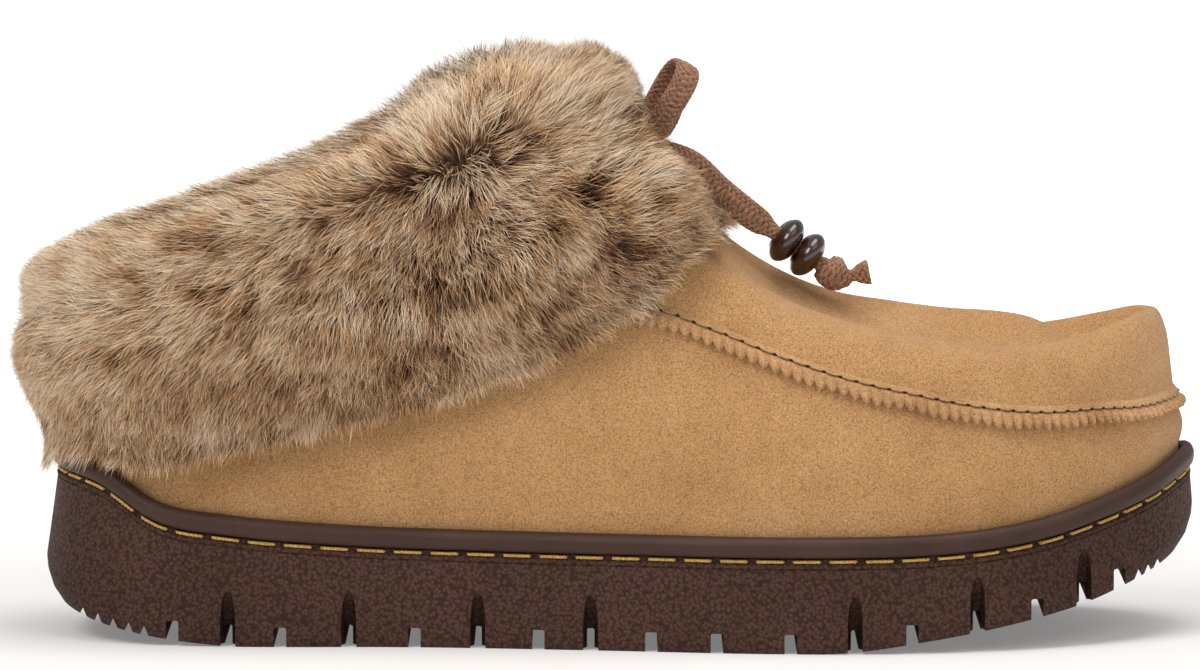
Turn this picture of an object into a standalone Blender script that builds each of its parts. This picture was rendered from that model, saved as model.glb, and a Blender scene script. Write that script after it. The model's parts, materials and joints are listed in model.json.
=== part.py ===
"""Fur-cuffed moccasin slip-on, right shoe, as an assembly of separate solids.

Run it with blender --background --python part.py, or from the text editor. Metres, +Z up,
+X towards the toe and -Y towards the outer side of the foot. The origin is on the ground,
under the middle of the heel tread.

A section of the shoe is found by `round`, a share from the heel's back (0) to the toe's tip (1)
along one half of the sole's outline, and by `up`, which counts the section's own marks:
0 feather edge, 1 welt top, 2 side bulge, 3 apron seam, 4 shoulder, 5 apron ridge, 6 apron
trough, 7 the middle of the apron or, behind the throat, the topline.
"""

import math

import bmesh
import bpy
import numpy as np
from mathutils import Vector

# Sole
SOLE_LENGTH = 0.272
BALL_WIDTH = 0.103
HEEL_WIDTH = 0.074
HEEL_BACK_X = -0.050
BALL_SOLE_THICKNESS = 0.0145
HEEL_SOLE_THICKNESS = 0.0175
SIDE_HEIGHT = 0.0222
HEEL_CUP_RISE = 0.0173
TOE_CUP_RISE = 0.0166
TOE_SPRING = 0.0200
HEEL_BEVEL = 0.0085
CUP_WALL = 0.0025
WALL_SET_BACK = 0.0005
HEEL_WALL_LEAN = 0.0021
SIDE_CORNER = 0.0020
TIP_CORNER = 0.0100
TIP_TUCK = 0.0068
STITCH_LEDGE_DEPTH = 0.0008
STITCH_LEDGE_HEIGHT = 0.0013

# Tread
CHANNEL_DEPTH = 0.0046
CHANNEL_WIDTH = 0.0029
SLOT_HEIGHT = 0.0130
SLOT_WIDTH = 0.0036
SLOT_DEPTH = 0.0062
SERRATION_DEPTH = 0.0022
SERRATION_WIDTH = 0.0020
SERRATION_START = 0.0028
HEEL_SERRATION_PITCH = 0.0037
TOE_SERRATION_PITCH = 0.0024
TREAD_TUCK = 0.0007
SLOT_TIP_DEPTH = 0.0008
CUTTER_REACH = 0.0040

# Welt
WELT_HEIGHT = 0.0048
WELT_BULGE = 0.0009

# Upper and footbed
UPPER_WALL = 0.0024
INSTEP_RISE = 0.0950
INSOLE_THICKNESS = 0.0050
SEAM_STRIP_THICKNESS = 0.0018
SEAM_STRIP_ABOVE = 0.0022
SEAM_STRIP_BELOW = 0.0033
PINKING_PITCH = 0.0040
PINKING_DEPTH = 0.0014

# Fur cuff
FUR_PILE = 0.0125
FUR_CREST = 0.0190
FUR_LINING = 0.0070
FUR_REACH_INSIDE = 0.0180
FUR_DROOP = 0.0030
HEEL_TAPER = 0.65
FUR_CLEARANCE = 0.0019
FUR_LEAST = 0.0005
LOCK_LENGTH = 0.0030

# Lace and beads
LACE_WIDTH = 0.0066
LACE_THICKNESS = 0.0018
BEAD_RADIUS = 0.0056
BEAD_LENGTH = 0.0056
BEAD_HOLE_RADIUS = 0.0024
KNOT_RADIUS = 0.0033

CLEARANCE = 0.0003
TINY = 1e-6

THROAT = 0.475
OPENING_WIDEST = 0.400
SIDES = (-1, 1)

# Half of the sole's outline: share of the length, then outer and inner half widths as shares of
# the width there.
OUTLINE = (
    # along, outer, inner
    (0.020, 0.270, 0.270),
    (0.075, 0.435, 0.435),
    (0.170, 0.500, 0.495),
    (0.320, 0.478, 0.440),
    (0.480, 0.470, 0.405),
    (0.620, 0.495, 0.440),
    (0.740, 0.500, 0.480),
    (0.840, 0.435, 0.475),
    (0.920, 0.305, 0.420),
    (0.975, 0.130, 0.300),
)
TOE_TIP_INWARD = 0.095

# Where each section points to: share of the length, and share of the ball width inwards.
CENTRE_LINE = (
    # round, along, inward
    (0.00, 0.110, 0.000),
    (0.10, 0.135, 0.000),
    (0.20, 0.180, 0.000),
    (0.30, 0.279, -0.008),
    (0.40, 0.393, -0.022),
    (0.50, 0.508, -0.034),
    (0.60, 0.624, -0.030),
    (0.70, 0.735, -0.008),
    (0.80, 0.825, 0.030),
    (0.90, 0.876, 0.062),
    (0.95, 0.892, 0.072),
    (1.00, 0.904, 0.080),
)

# Top of the sole's side above its height at the waist: shares of the two cup rises.
CUP_LINE = (
    # round, heel share, toe share
    (0.00, 1.000, 0.000),
    (0.05, 0.990, 0.000),
    (0.10, 0.850, 0.000),
    (0.15, 0.360, 0.000),
    (0.20, 0.205, 0.000),
    (0.25, 0.120, 0.000),
    (0.30, 0.060, 0.000),
    (0.40, 0.015, 0.000),
    (0.50, 0.000, 0.000),
    (0.65, 0.000, 0.000),
    (0.70, 0.000, 0.020),
    (0.75, 0.000, 0.085),
    (0.80, 0.000, 0.225),
    (0.85, 0.000, 0.445),
    (0.90, 0.000, 0.670),
    (0.95, 0.000, 0.890),
    (1.00, 0.000, 1.000),
)

# Height of the tread off the ground: shares of the heel bevel and of the toe spring.
TREAD_LINE = (
    # along, heel share, toe share
    (0.000, 1.000, 0.000),
    (0.045, 0.560, 0.000),
    (0.088, 0.285, 0.000),
    (0.130, 0.100, 0.000),
    (0.165, 0.000, 0.000),
    (0.400, 0.000, 0.000),
    (0.675, 0.000, 0.000),
    (0.705, 0.000, 0.030),
    (0.750, 0.000, 0.115),
    (0.805, 0.000, 0.235),
    (0.857, 0.000, 0.370),
    (0.898, 0.000, 0.505),
    (0.932, 0.000, 0.655),
    (0.965, 0.000, 0.810),
    (1.000, 0.000, 1.000),
)

# Marks of the upper's sections: heights above the welt as shares of the instep rise, and places
# between the side (0) and the centre line (1).
SECTIONS = (
    # round, seam h, seam in, ridge h, ridge in, trough h, trough in, top h, top in
    (0.000, 0.126, 0.000, 0.232, 0.030, 0.284, 0.050, 0.326, 0.070),
    (0.100, 0.147, 0.000, 0.274, 0.030, 0.337, 0.060, 0.389, 0.080),
    (0.150, 0.210, 0.000, 0.379, 0.030, 0.463, 0.060, 0.526, 0.090),
    (0.200, 0.253, 0.000, 0.442, 0.050, 0.537, 0.090, 0.611, 0.130),
    (0.300, 0.316, 0.000, 0.547, 0.080, 0.663, 0.130, 0.758, 0.190),
    (0.400, 0.400, 0.020, 0.663, 0.120, 0.800, 0.210, 0.900, 0.310),
    (0.450, 0.484, 0.050, 0.758, 0.220, 0.874, 0.360, 0.963, 0.490),
    (0.475, 0.526, 0.080, 0.800, 0.320, 0.926, 0.620, 1.000, 1.000),
    (0.500, 0.547, 0.100, 0.789, 0.380, 0.874, 0.650, 0.905, 1.000),
    (0.550, 0.500, 0.120, 0.695, 0.430, 0.747, 0.660, 0.758, 1.000),
    (0.600, 0.435, 0.110, 0.580, 0.430, 0.572, 0.650, 0.639, 1.000),
    (0.650, 0.379, 0.090, 0.515, 0.410, 0.492, 0.640, 0.565, 1.000),
    (0.700, 0.337, 0.070, 0.476, 0.390, 0.446, 0.620, 0.533, 1.000),
    (0.750, 0.293, 0.055, 0.438, 0.370, 0.403, 0.600, 0.502, 1.000),
    (0.800, 0.251, 0.050, 0.405, 0.360, 0.366, 0.590, 0.468, 1.000),
    (0.850, 0.213, 0.050, 0.381, 0.360, 0.333, 0.590, 0.414, 1.000),
    (0.900, 0.168, 0.055, 0.366, 0.350, 0.303, 0.590, 0.347, 1.000),
    (0.950, 0.135, 0.055, 0.350, 0.320, 0.272, 0.570, 0.283, 1.000),
    (1.000, 0.125, 0.050, 0.336, 0.300, 0.246, 0.560, 0.253, 1.000),
)
BULGE_HEIGHT = 0.42
BULGE_OUT = 0.0009
SHOULDER_HEIGHT = 0.74
SHOULDER_IN = 0.34

# The cuff against its way round the collar, from the heel (0) to the throat (1): its lower edge,
# and its pile and crest as shares of the largest.
CUFF_WAY = (
    # way, edge round, edge up, pile, crest, crest pile
    (0.00, 0.000, 1.75, 1.02, 0.74, 1.00),
    (0.15, 0.105, 2.40, 1.04, 0.80, 1.00),
    (0.32, 0.225, 2.90, 1.02, 0.82, 1.00),
    (0.48, 0.305, 3.10, 1.00, 0.78, 1.00),
    (0.64, 0.380, 3.20, 1.00, 0.92, 1.00),
    (0.74, 0.430, 3.20, 1.00, 1.16, 1.00),
    (0.82, 0.470, 3.20, 1.10, 1.17, 1.04),
    (0.89, 0.505, 3.45, 1.30, 0.72, 1.34),
    (0.933, 0.527, 4.25, 1.36, 0.62, 1.10),
    (0.967, 0.540, 5.50, 0.45, 0.84, 0.88),
    (1.000, 0.547, 7.00, 0.12, 1.00, 0.90),
)

# The cuff's own section: place down the band (0 topline, 1 lower edge) and pile, then rise of the
# crest and pile, as shares.
CUFF_OUTSIDE = (
    # down, pile
    (1.00, 0.42),
    (0.92, 0.86),
    (0.74, 1.04),
    (0.56, 1.08),
    (0.38, 1.02),
    (0.20, 0.92),
    (0.04, 0.78),
)
CUFF_CREST = (
    # rise, pile
    (0.46, 0.98),
    (0.86, 0.78),
    (1.00, 0.24),
    (0.82, -0.28),
    (0.42, -0.55),
)
CUFF_LINING = (
    # share of the reach inside, thickness share
    (0.30, 1.00),
    (0.78, 0.90),
    (1.00, 0.40),
)

# One end of the lace, from the knot: along the sole from its heel, across from the middle of the
# apron, height off the ground, and width and thickness as shares.
LACE_END = (
    # along, across, height, width, thickness
    (0.1434, 0.0020, 0.1148, 0.60, 1.0),
    (0.1480, 0.0030, 0.1132, 0.90, 1.0),
    (0.1532, 0.0042, 0.1107, 1.00, 1.0),
    (0.1590, 0.0052, 0.1053, 1.00, 1.0),
    (0.1645, 0.0060, 0.1008, 1.00, 1.0),
    (0.1690, 0.0064, 0.0975, 0.90, 1.1),
    (0.1722, 0.0065, 0.0952, 0.52, 1.9),
    (0.1776, 0.0066, 0.0914, 0.50, 1.9),
    (0.1830, 0.0066, 0.0878, 0.52, 1.9),
    (0.1844, 0.0066, 0.0866, 1.05, 3.6),
    (0.1868, 0.0066, 0.0852, 1.20, 4.0),
    (0.1890, 0.0066, 0.0847, 0.80, 2.6),
    (0.1906, 0.0066, 0.0849, 0.40, 1.4),
    (0.1926, 0.0066, 0.0853, 0.70, 1.8),
    (0.1946, 0.0066, 0.0857, 0.90, 2.0),
)
# Half of a loop: out along it, and its half spread, as shares.
LOOP_SHAPE = (
    # out, spread
    (0.00, 0.30),
    (0.20, 0.42),
    (0.42, 0.50),
    (0.64, 0.54),
    (0.82, 0.50),
    (0.95, 0.32),
    (1.00, 0.00),
)
LOOPS = (
    # name, foot, way out, way apart, length, spread
    ("outer", (0.1424, -0.0009, 0.1186), (0.50, -0.05, 0.86), (-0.34, 0.90, 0.20), 0.0179, 0.0074),
    ("inner", (0.1444, 0.0052, 0.1200), (0.12, 0.98, 0.02), (0.45, 0.0, 0.89), 0.0192, 0.0050),
)
KNOT_AT = (0.1373, -0.0007, 0.1242)
BEADS_AT = (0.27, 0.73)
VIEW_SLOPE = 0.080

# Tread features along the sole, as shares of its length.
SLOTS_AT = (0.162, 0.266, 0.377, 0.474, 0.700, 0.805, 0.898)
CHANNELS_AT = (0.114, 0.207, 0.3225, 0.429, 0.526, 0.582, 0.645, 0.749, 0.857, 0.930)
HEEL_SERRATIONS = 5
TOE_SERRATIONS = 3

SUEDE = (0.52, 0.31, 0.14)
SUEDE_EDGE = (0.42, 0.24, 0.12)
SOLE_BROWN = (0.075, 0.045, 0.034)
WELT_BROWN = (0.095, 0.055, 0.040)
FUR_BROWN = (0.38, 0.25, 0.16)
LACE_BROWN = (0.30, 0.165, 0.105)
BEAD_BROWN = (0.035, 0.014, 0.010)
FLEECE = (0.55, 0.42, 0.30)


def curve_through(rows, at):
    """The columns of a table, read at the places `at` on a smooth curve through its rows."""
    rows, at = np.asarray(rows, float), np.atleast_1d(np.asarray(at, float))
    knots, values = rows[:, 0], rows[:, 1:]
    slopes = np.gradient(values, knots, axis=0)
    i = np.clip(np.searchsorted(knots, at, side="right") - 1, 0, len(knots) - 2)
    h = (knots[i + 1] - knots[i])[:, None]
    t = (at - knots[i])[:, None] / h
    start = (2 * t**3 - 3 * t**2 + 1) * values[i] + (t**3 - 2 * t**2 + t) * h * slopes[i]
    return start + (3 * t**2 - 2 * t**3) * values[i + 1] + (t**3 - t**2) * h * slopes[i + 1]


def width_at(along):
    """The sole's width: the heel's, growing to the ball's over the waist."""
    t = np.clip((along - 0.20) / 0.45, 0, 1)
    return HEEL_WIDTH + (BALL_WIDTH - HEEL_WIDTH) * t * t * (3 - 2 * t)


def half_outlines():
    """For each side, (share of its length, points) from the heel's back to the toe's tip."""
    rows = np.array(OUTLINE)
    x, width = rows[:, 0] * SOLE_LENGTH, width_at(rows[:, 0])
    outer = np.stack([x, -rows[:, 1] * width], 1)
    inner = np.stack([x, rows[:, 2] * width], 1)
    heel, toe = [[0.0, 0.0]], [[SOLE_LENGTH, TOE_TIP_INWARD * BALL_WIDTH]]
    loop = np.concatenate([heel, outer, toe, inner[::-1]])
    loop = np.concatenate([loop, loop, loop[:1]])
    chord = np.cumsum(np.linalg.norm(np.diff(loop, axis=0), axis=1) ** 0.75)
    table = np.column_stack([np.concatenate([[0], chord]), loop])
    half, ring = len(rows) + 1, 2 * len(rows) + 2
    found = {}
    for side, first, last in ((-1, ring, ring + half), (1, ring, ring - half)):
        at = np.linspace(table[first, 0], table[last, 0], 1200)
        points = curve_through(table, at) + (HEEL_BACK_X, 0)
        steps = np.linalg.norm(np.diff(points, axis=0), axis=1)
        way = np.concatenate([[0], np.cumsum(steps)])
        found[side] = (way / way[-1], points)
    return found


HALVES = half_outlines()


def outline_point(side, round_, inset=0.0):
    """A point of the sole's outline, moved inwards by `inset`, in plan."""
    way, points = HALVES[side]
    step = 2e-3
    spots = []
    for at in (round_, np.maximum(round_ - step, 0), np.minimum(round_ + step, 1)):
        spots.append(np.stack([np.interp(at, way, points[:, k]) for k in (0, 1)], -1))
    along = spots[2] - spots[1]
    # At the heel's back and the toe's tip both halves meet square to the length.
    for tip in (0, 1):
        at_tip = np.abs(np.asarray(round_) - tip)[..., None] < TINY
        along = np.where(at_tip, (0, (1 - 2 * tip) * side), along)
    along = along / np.linalg.norm(along, axis=-1, keepdims=True)
    normal = np.stack([along[..., 1], -along[..., 0]], -1) * side
    return spots[0] + normal * np.asarray(inset)[..., None]


def side_top(round_):
    """Height of the top of the sole's side, where the stitches run."""
    heel, toe = curve_through(CUP_LINE, round_).T
    return (SIDE_HEIGHT + HEEL_CUP_RISE * heel + TOE_CUP_RISE * toe).reshape(np.shape(round_))


def tread_height(x):
    """Height of the tread off the ground: none between the heel and the ball."""
    along = np.clip((np.asarray(x) - HEEL_BACK_X) / SOLE_LENGTH, 0, 1)
    heel, toe = curve_through(TREAD_LINE, along).T
    return np.maximum(HEEL_BEVEL * heel + TOE_SPRING * toe, 0).reshape(np.shape(x))


def floor_height(x):
    """Height of the floor inside the cup."""
    along = np.clip((np.asarray(x) - HEEL_BACK_X) / SOLE_LENGTH, 0, 1)
    fall = np.clip((along - 0.25) / 0.4, 0, 1)
    fall = fall * fall * (3 - 2 * fall)
    bottom = np.where(along > 0.5, tread_height(x), 0)
    return HEEL_SOLE_THICKNESS + (BALL_SOLE_THICKNESS - HEEL_SOLE_THICKNESS) * fall + bottom


def tip_share(round_):
    """1 at the heel's back and the toe's tip, falling to 0 along the sides."""
    heel = np.clip(1 - round_ / 0.16, 0, 1)
    toe = np.clip(1 - (1 - round_) / 0.17, 0, 1)
    return heel**1.5 + toe**1.5


def wall_inset(round_):
    """How far the top of the sole's side stands back from the outline: most at the heel."""
    lean = np.clip(1 - round_ / 0.14, 0, 1)
    return WALL_SET_BACK + HEEL_WALL_LEAN * lean * lean * (3 - 2 * lean)


def upper_marks(round_):
    """Heights above the welt and places inwards of the section's eight marks."""
    round_ = np.atleast_1d(round_)
    seam_h, seam_in, ridge_h, ridge_in, trough_h, trough_in, top_h, top_in = curve_through(
        SECTIONS, round_
    ).T
    turn = np.clip((round_ - OPENING_WIDEST) / (THROAT - OPENING_WIDEST), 0, 1)
    widest = curve_through(SECTIONS, OPENING_WIDEST)[0, -1]
    arc = 1 - (1 - widest) * np.sqrt(1 - turn**2)
    top_in = np.where(round_ > OPENING_WIDEST, arc, top_in)
    shoulder_h = seam_h + SHOULDER_HEIGHT * (ridge_h - seam_h)
    shoulder_in = seam_in + SHOULDER_IN * (ridge_in - seam_in)
    none = np.zeros_like(seam_h)
    heights = [none, none, BULGE_HEIGHT * seam_h, seam_h, shoulder_h, ridge_h, trough_h, top_h]
    inwards = [none, none, none, seam_in, shoulder_in, ridge_in, trough_in, top_in]
    return np.stack(heights).T * INSTEP_RISE, np.stack(inwards).T


def through_marks(marks, up):
    """Reads marks[n, 8] at the places up[n], on a smooth curve from mark 1 on and straight below it."""
    n = np.arange(len(up))
    i = np.clip(np.floor(up).astype(int), 0, 6)
    t = up - i
    before = marks[n, np.maximum(i - 1, 1)]
    a, b = marks[n, i], marks[n, i + 1]
    after = marks[n, np.minimum(i + 2, 7)]
    m0, m1 = (b - before) / 2, (after - a) / 2
    smooth = (2 * t**3 - 3 * t**2 + 1) * a + (t**3 - 2 * t**2 + t) * m0
    smooth = smooth + (3 * t**2 - 2 * t**3) * b + (t**3 - t**2) * m1
    return np.where(i == 0, a + t * (b - a), smooth)


def upper_point(side, round_, up):
    """Points of the upper's outer face."""
    round_, up = np.broadcast_arrays(np.atleast_1d(np.asarray(round_, float)), up)
    up = up.astype(float)
    base = outline_point(side, round_, wall_inset(round_) + CUP_WALL + CLEARANCE)
    along, inward = curve_through(CENTRE_LINE, round_).T
    centre = np.stack([HEEL_BACK_X + along * SOLE_LENGTH, inward * BALL_WIDTH], 1)
    to_centre = centre - base
    heights, inwards = upper_marks(round_)
    bulge = np.zeros_like(heights)
    bulge[:, 2] = BULGE_OUT
    place = through_marks(inwards, up)[:, None]
    out = through_marks(bulge, up)[:, None] / np.linalg.norm(to_centre, axis=1, keepdims=True)
    welt_top = side_top(round_) + CLEARANCE + WELT_HEIGHT
    floor = floor_height(base[:, 0]) + CLEARANCE
    height = np.where(up < 1, floor + up * (welt_top - floor), welt_top + through_marks(heights, up))
    return np.column_stack([base + to_centre * (place - out), height])


def upper_normal(side, round_, up):
    """Outward unit normals of the upper's outer face."""
    round_, up = np.broadcast_arrays(np.atleast_1d(np.asarray(round_, float)), up)
    step = 4e-3
    before, after = np.maximum(round_ - step, 0), np.minimum(round_ + step, 1)
    across = upper_point(side, after, up) - upper_point(side, before, up)
    climb = upper_point(side, round_, np.minimum(up + 0.02, 7)) - upper_point(side, round_, up - 0.02)
    normal = np.cross(across, climb) * -side
    # On the plane where both sides meet, the normal has no part across it.
    middle = ((round_ < TINY) | (round_ > 1 - TINY) | (up > 7 - TINY) & (round_ >= THROAT - TINY))
    mirror = np.cross(
        upper_point(-side, after, up) - upper_point(-side, before, up),
        upper_point(-side, round_, np.minimum(up + 0.02, 7)) - upper_point(-side, round_, up - 0.02),
    ) * side
    normal = np.where(middle[:, None], normal + mirror, normal)
    return normal / np.linalg.norm(normal, axis=1, keepdims=True)


def material(name, colour, roughness):
    made = bpy.data.materials.new(name)
    made.use_nodes = True
    shader = made.node_tree.nodes["Principled BSDF"]
    shader.inputs["Base Color"].default_value = (*colour, 1)
    shader.inputs["Roughness"].default_value = roughness
    shader.inputs["Metallic"].default_value = 0.0
    return made


def add_mesh(name, points, faces, paint, smooth_angle=50):
    """A closed mesh object with its faces turned outwards."""
    mesh = bpy.data.meshes.new(name)
    mesh.from_pydata([tuple(p) for p in points], [], [tuple(int(i) for i in f) for f in faces])
    work = bmesh.new()
    work.from_mesh(mesh)
    bmesh.ops.remove_doubles(work, verts=work.verts, dist=2e-5)
    bmesh.ops.recalc_face_normals(work, faces=work.faces)
    work.to_mesh(mesh)
    work.free()
    obj = bpy.data.objects.new(name, mesh)
    bpy.context.scene.collection.objects.link(obj)
    if paint:
        mesh.materials.append(paint)
    mesh.shade_smooth()
    mesh.set_sharp_from_angle(angle=math.radians(smooth_angle))
    return obj


def grid_faces(rows, columns, close_rows=False, close_columns=False):
    """Quads of a grid of points that is stored row by row."""
    faces = []
    for i in range(rows if close_rows else rows - 1):
        for j in range(columns if close_columns else columns - 1):
            k, n = (i + 1) % rows, (j + 1) % columns
            faces.append((i * columns + j, k * columns + j, k * columns + n, i * columns + n))
    return faces


def ring_stations(count):
    """(side, round) pairs once round the sole, closer together at the tips."""
    t = np.linspace(0, 1, count + 1)
    shares = t - 0.045 * np.sin(4 * math.pi * t) / 2 - 0.05 * np.sin(2 * math.pi * t) / 2
    outer = [(-1, r) for r in shares]
    inner = [(1, r) for r in shares[-2:0:-1]]
    return outer + inner


def ring(stations, inset, height):
    """A closed loop of points: inset and height are functions of (side, round)."""
    points = []
    for side, round_ in stations:
        x, y = outline_point(side, round_, inset(side, round_))
        points.append((x, y, height(side, round_, x)))
    return points


def bridge_across(first, count):
    """Faces that close a loop of points by pairing its outer half with its inner half."""
    faces = []
    for i in range(count // 2):
        back, front = (count - i) % count, count - i - 1
        corners = (i, i + 1, front, back)
        faces.append(tuple(first + k for k in dict.fromkeys(corners)))
    return faces


def make_outsole(paint):
    """The moulded cup sole, then its slots, channels and serrations cut out of it."""
    stations = ring_stations(32)
    count = len(stations)

    def corner(round_):
        return SIDE_CORNER + (TIP_CORNER - SIDE_CORNER) * tip_share(round_)

    def tuck(round_):
        return TREAD_TUCK + TIP_TUCK * tip_share(round_)

    def bottom(side, round_):
        return float(tread_height(outline_point(side, round_, tuck(round_))[0]))

    def top(round_):
        return float(side_top(round_))

    ledge = STITCH_LEDGE_HEIGHT
    loops = (
        (lambda s, r: tuck(r), lambda s, r, x: bottom(s, r)),
        (lambda s, r: 0.30 * tuck(r), lambda s, r, x: bottom(s, r) + 0.30 * corner(r)),
        (lambda s, r: 0.0, lambda s, r, x: bottom(s, r) + corner(r)),
        (lambda s, r: wall_inset(r), lambda s, r, x: top(r) - ledge),
        (lambda s, r: wall_inset(r) + STITCH_LEDGE_DEPTH, lambda s, r, x: top(r) - ledge),
        (lambda s, r: wall_inset(r) + STITCH_LEDGE_DEPTH, lambda s, r, x: top(r)),
        (lambda s, r: wall_inset(r) + CUP_WALL, lambda s, r, x: top(r)),
        (lambda s, r: wall_inset(r) + CUP_WALL, lambda s, r, x: float(floor_height(x))),
    )
    points = []
    for inset, height in loops:
        points += ring(stations, inset, height)
    faces = grid_faces(len(loops), count, close_columns=True)
    faces += bridge_across(0, count)
    faces += bridge_across((len(loops) - 1) * count, count)
    sole = add_mesh("outsole", points, faces, paint, 35)
    for name, cutter in (("channels", channel_cutter()), ("slots", slot_cutter())):
        cut = sole.modifiers.new(name, "BOOLEAN")
        cut.operation = "DIFFERENCE"
        cut.solver = "EXACT"
        cut.object = cutter
    return apply_modifiers(sole, 35)


def apply_modifiers(obj, smooth_angle):
    """Bakes the modifiers, and marks the sharp edges of the result."""
    graph = bpy.context.evaluated_depsgraph_get()
    mesh = bpy.data.meshes.new_from_object(obj.evaluated_get(graph), depsgraph=graph)
    obj.modifiers.clear()
    obj.data = mesh
    mesh.shade_smooth()
    mesh.set_sharp_from_angle(angle=math.radians(smooth_angle))
    return obj


def hide_cutter(obj):
    obj.hide_render = True
    obj.display_type = "WIRE"
    return obj


def serration_places():
    """Where the V cuts are: they count from each end of the tread inwards."""
    first = TIP_TUCK + SERRATION_START
    toe = HEEL_BACK_X + SOLE_LENGTH
    places = [HEEL_BACK_X + first + k * HEEL_SERRATION_PITCH for k in range(HEEL_SERRATIONS)]
    return places + [toe - first - k * TOE_SERRATION_PITCH for k in range(TOE_SERRATIONS)]


def channel_cutter():
    """Grooves straight across the tread: square ones between the lugs, and V ones at the ends."""
    reach = BALL_WIDTH
    half = CHANNEL_WIDTH / 2
    thin = 0.6 * half
    flare = SERRATION_WIDTH / 2
    # place, half width at the tread, half width at the roof, depth, reach below the tread
    cuts = [(share, half, half) for share in CHANNELS_AT] + [(share, thin, thin) for share in SLOTS_AT]
    cuts = [(HEEL_BACK_X + share * SOLE_LENGTH, *size, CHANNEL_DEPTH, CUTTER_REACH) for share, *size in cuts]
    cuts += [(x, flare, 0.12 * flare, SERRATION_DEPTH, CLEARANCE) for x in serration_places()]
    points, faces = [], []
    for x, half, roof, depth, below in cuts:
        foot = half + (half - roof) * below / depth
        left, middle, right = (float(h) for h in tread_height([x - foot, x, x + foot]))
        profile = [
            (x - foot, left - below),
            (x + foot, right - below),
            (x + roof, middle + depth),
            (x - roof, middle + depth),
        ]
        first, n = len(points), len(profile)
        points += [(px, y, pz) for y in (-reach, reach) for px, pz in profile]
        faces.append(tuple(first + i for i in range(n)))
        faces.append(tuple(first + n + i for i in reversed(range(n))))
        faces += [tuple(first + i for i in f) for f in grid_faces(2, n, close_columns=True)]
    return hide_cutter(add_mesh("cut_channels", points, faces, None))


def slot_cutter():
    """Bullet-shaped slots in both side walls, shallower towards their pointed tops."""
    levels = (-0.35, 0.0, 0.45, 0.78, 1.0)
    points, faces = [], []
    for side in SIDES:
        way, spots = HALVES[side]
        for at in SLOTS_AT:
            x = HEEL_BACK_X + at * SOLE_LENGTH
            middle = spots[:, 0] < HEEL_BACK_X + 0.97 * SOLE_LENGTH
            y = float(np.interp(x, spots[middle, 0], spots[middle, 1]))
            foot = float(tread_height(x))
            first = len(points)
            for level in levels:
                share = max(level, 0.0)
                half = SLOT_WIDTH / 2 * max(1 - share**2.6, 0.04)
                depth = SLOT_TIP_DEPTH + SLOT_DEPTH * max(1 - share**1.5, 0.0)
                z = foot + level * SLOT_HEIGHT
                shape = [(-1, CUTTER_REACH), (-1, -0.55 * depth), (-0.35, -depth)]
                shape += [(0.35, -depth), (1, -0.55 * depth), (1, CUTTER_REACH)]
                points += [(x + half * sx, y + side * out, z) for sx, out in shape]
            n, m = 6, len(levels)
            faces.append(tuple(first + i for i in range(n)))
            faces.append(tuple(first + (m - 1) * n + i for i in reversed(range(n))))
            faces += [tuple(first + i for i in f) for f in grid_faces(m, n, close_columns=True)]
    return hide_cutter(add_mesh("cut_slots", points, faces, None))


def make_welt(paint):
    """The rolled rand that lies on the cup's edge, all round the upper."""
    stations = ring_stations(32)
    out, back = -WELT_BULGE, CUP_WALL - CLEARANCE
    section = (
        # inset, height share
        (out + 0.0008, 0.03),
        (out + 0.0001, 0.30),
        (out + 0.0001, 0.66),
        (out + 0.0010, 0.93),
        (back - 0.0008, 1.00),
        (back, 0.85),
        (back, 0.00),
    )
    points = []
    for inset, share in section:
        points += ring(
            stations,
            lambda s, r, inset=inset: wall_inset(r) + inset,
            lambda s, r, x, share=share: float(side_top(r)) + CLEARANCE + share * WELT_HEIGHT,
        )
    faces = grid_faces(len(section), len(stations), True, True)
    return add_mesh("welt_roll", points, faces, paint, 60)


def upper_stations():
    turn = np.radians([18, 36, 54, 72])
    behind = np.linspace(0, 1, 10)
    behind = OPENING_WIDEST * (behind - 0.25 * np.sin(math.pi * behind) / math.pi)
    bend = OPENING_WIDEST + (THROAT - OPENING_WIDEST) * np.sin(turn)
    ahead = np.linspace(THROAT, 1, 16)
    return np.concatenate([behind, bend, ahead])


def make_upper(paint):
    """One wall from the feather edge to the topline and over the apron, open at both."""
    rounds = upper_stations()
    ups = np.array([0, 1, 2, 3, 3.5, 4, 4.5, 5, 5.5, 6, 7])
    points, faces = [], []
    for side in SIDES:
        first = len(points)
        for round_ in rounds:
            points += list(upper_point(side, round_, ups))
        faces += [tuple(first + i for i in f) for f in grid_faces(len(rounds), len(ups))]
    upper = add_mesh("upper", points, faces, paint)
    face_up(upper)
    wall = upper.modifiers.new("wall", "SOLIDIFY")
    wall.thickness = UPPER_WALL
    wall.offset = -1
    wall.use_even_offset = True
    return upper


def face_up(obj):
    """Turns an open sheet so that its outer face points away from the foot."""
    mesh = obj.data
    highest = max(mesh.polygons, key=lambda p: p.center.z)
    if highest.normal.z < 0:
        mesh.flip_normals()


def make_insole(paint):
    """The footbed, inside the upper and on the cup's floor."""
    stations = ring_stations(28)
    count = len(stations)

    def inside(side, round_):
        return wall_inset(round_) + CUP_WALL + 3 * CLEARANCE + UPPER_WALL

    points = []
    for rise in (CLEARANCE, CLEARANCE + INSOLE_THICKNESS):
        points += ring(stations, inside, lambda s, r, x, rise=rise: float(floor_height(x)) + rise)
    faces = grid_faces(2, count, close_columns=True)
    faces += bridge_across(0, count) + bridge_across(count, count)
    return add_mesh("insole", points, faces, paint, 40)


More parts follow.
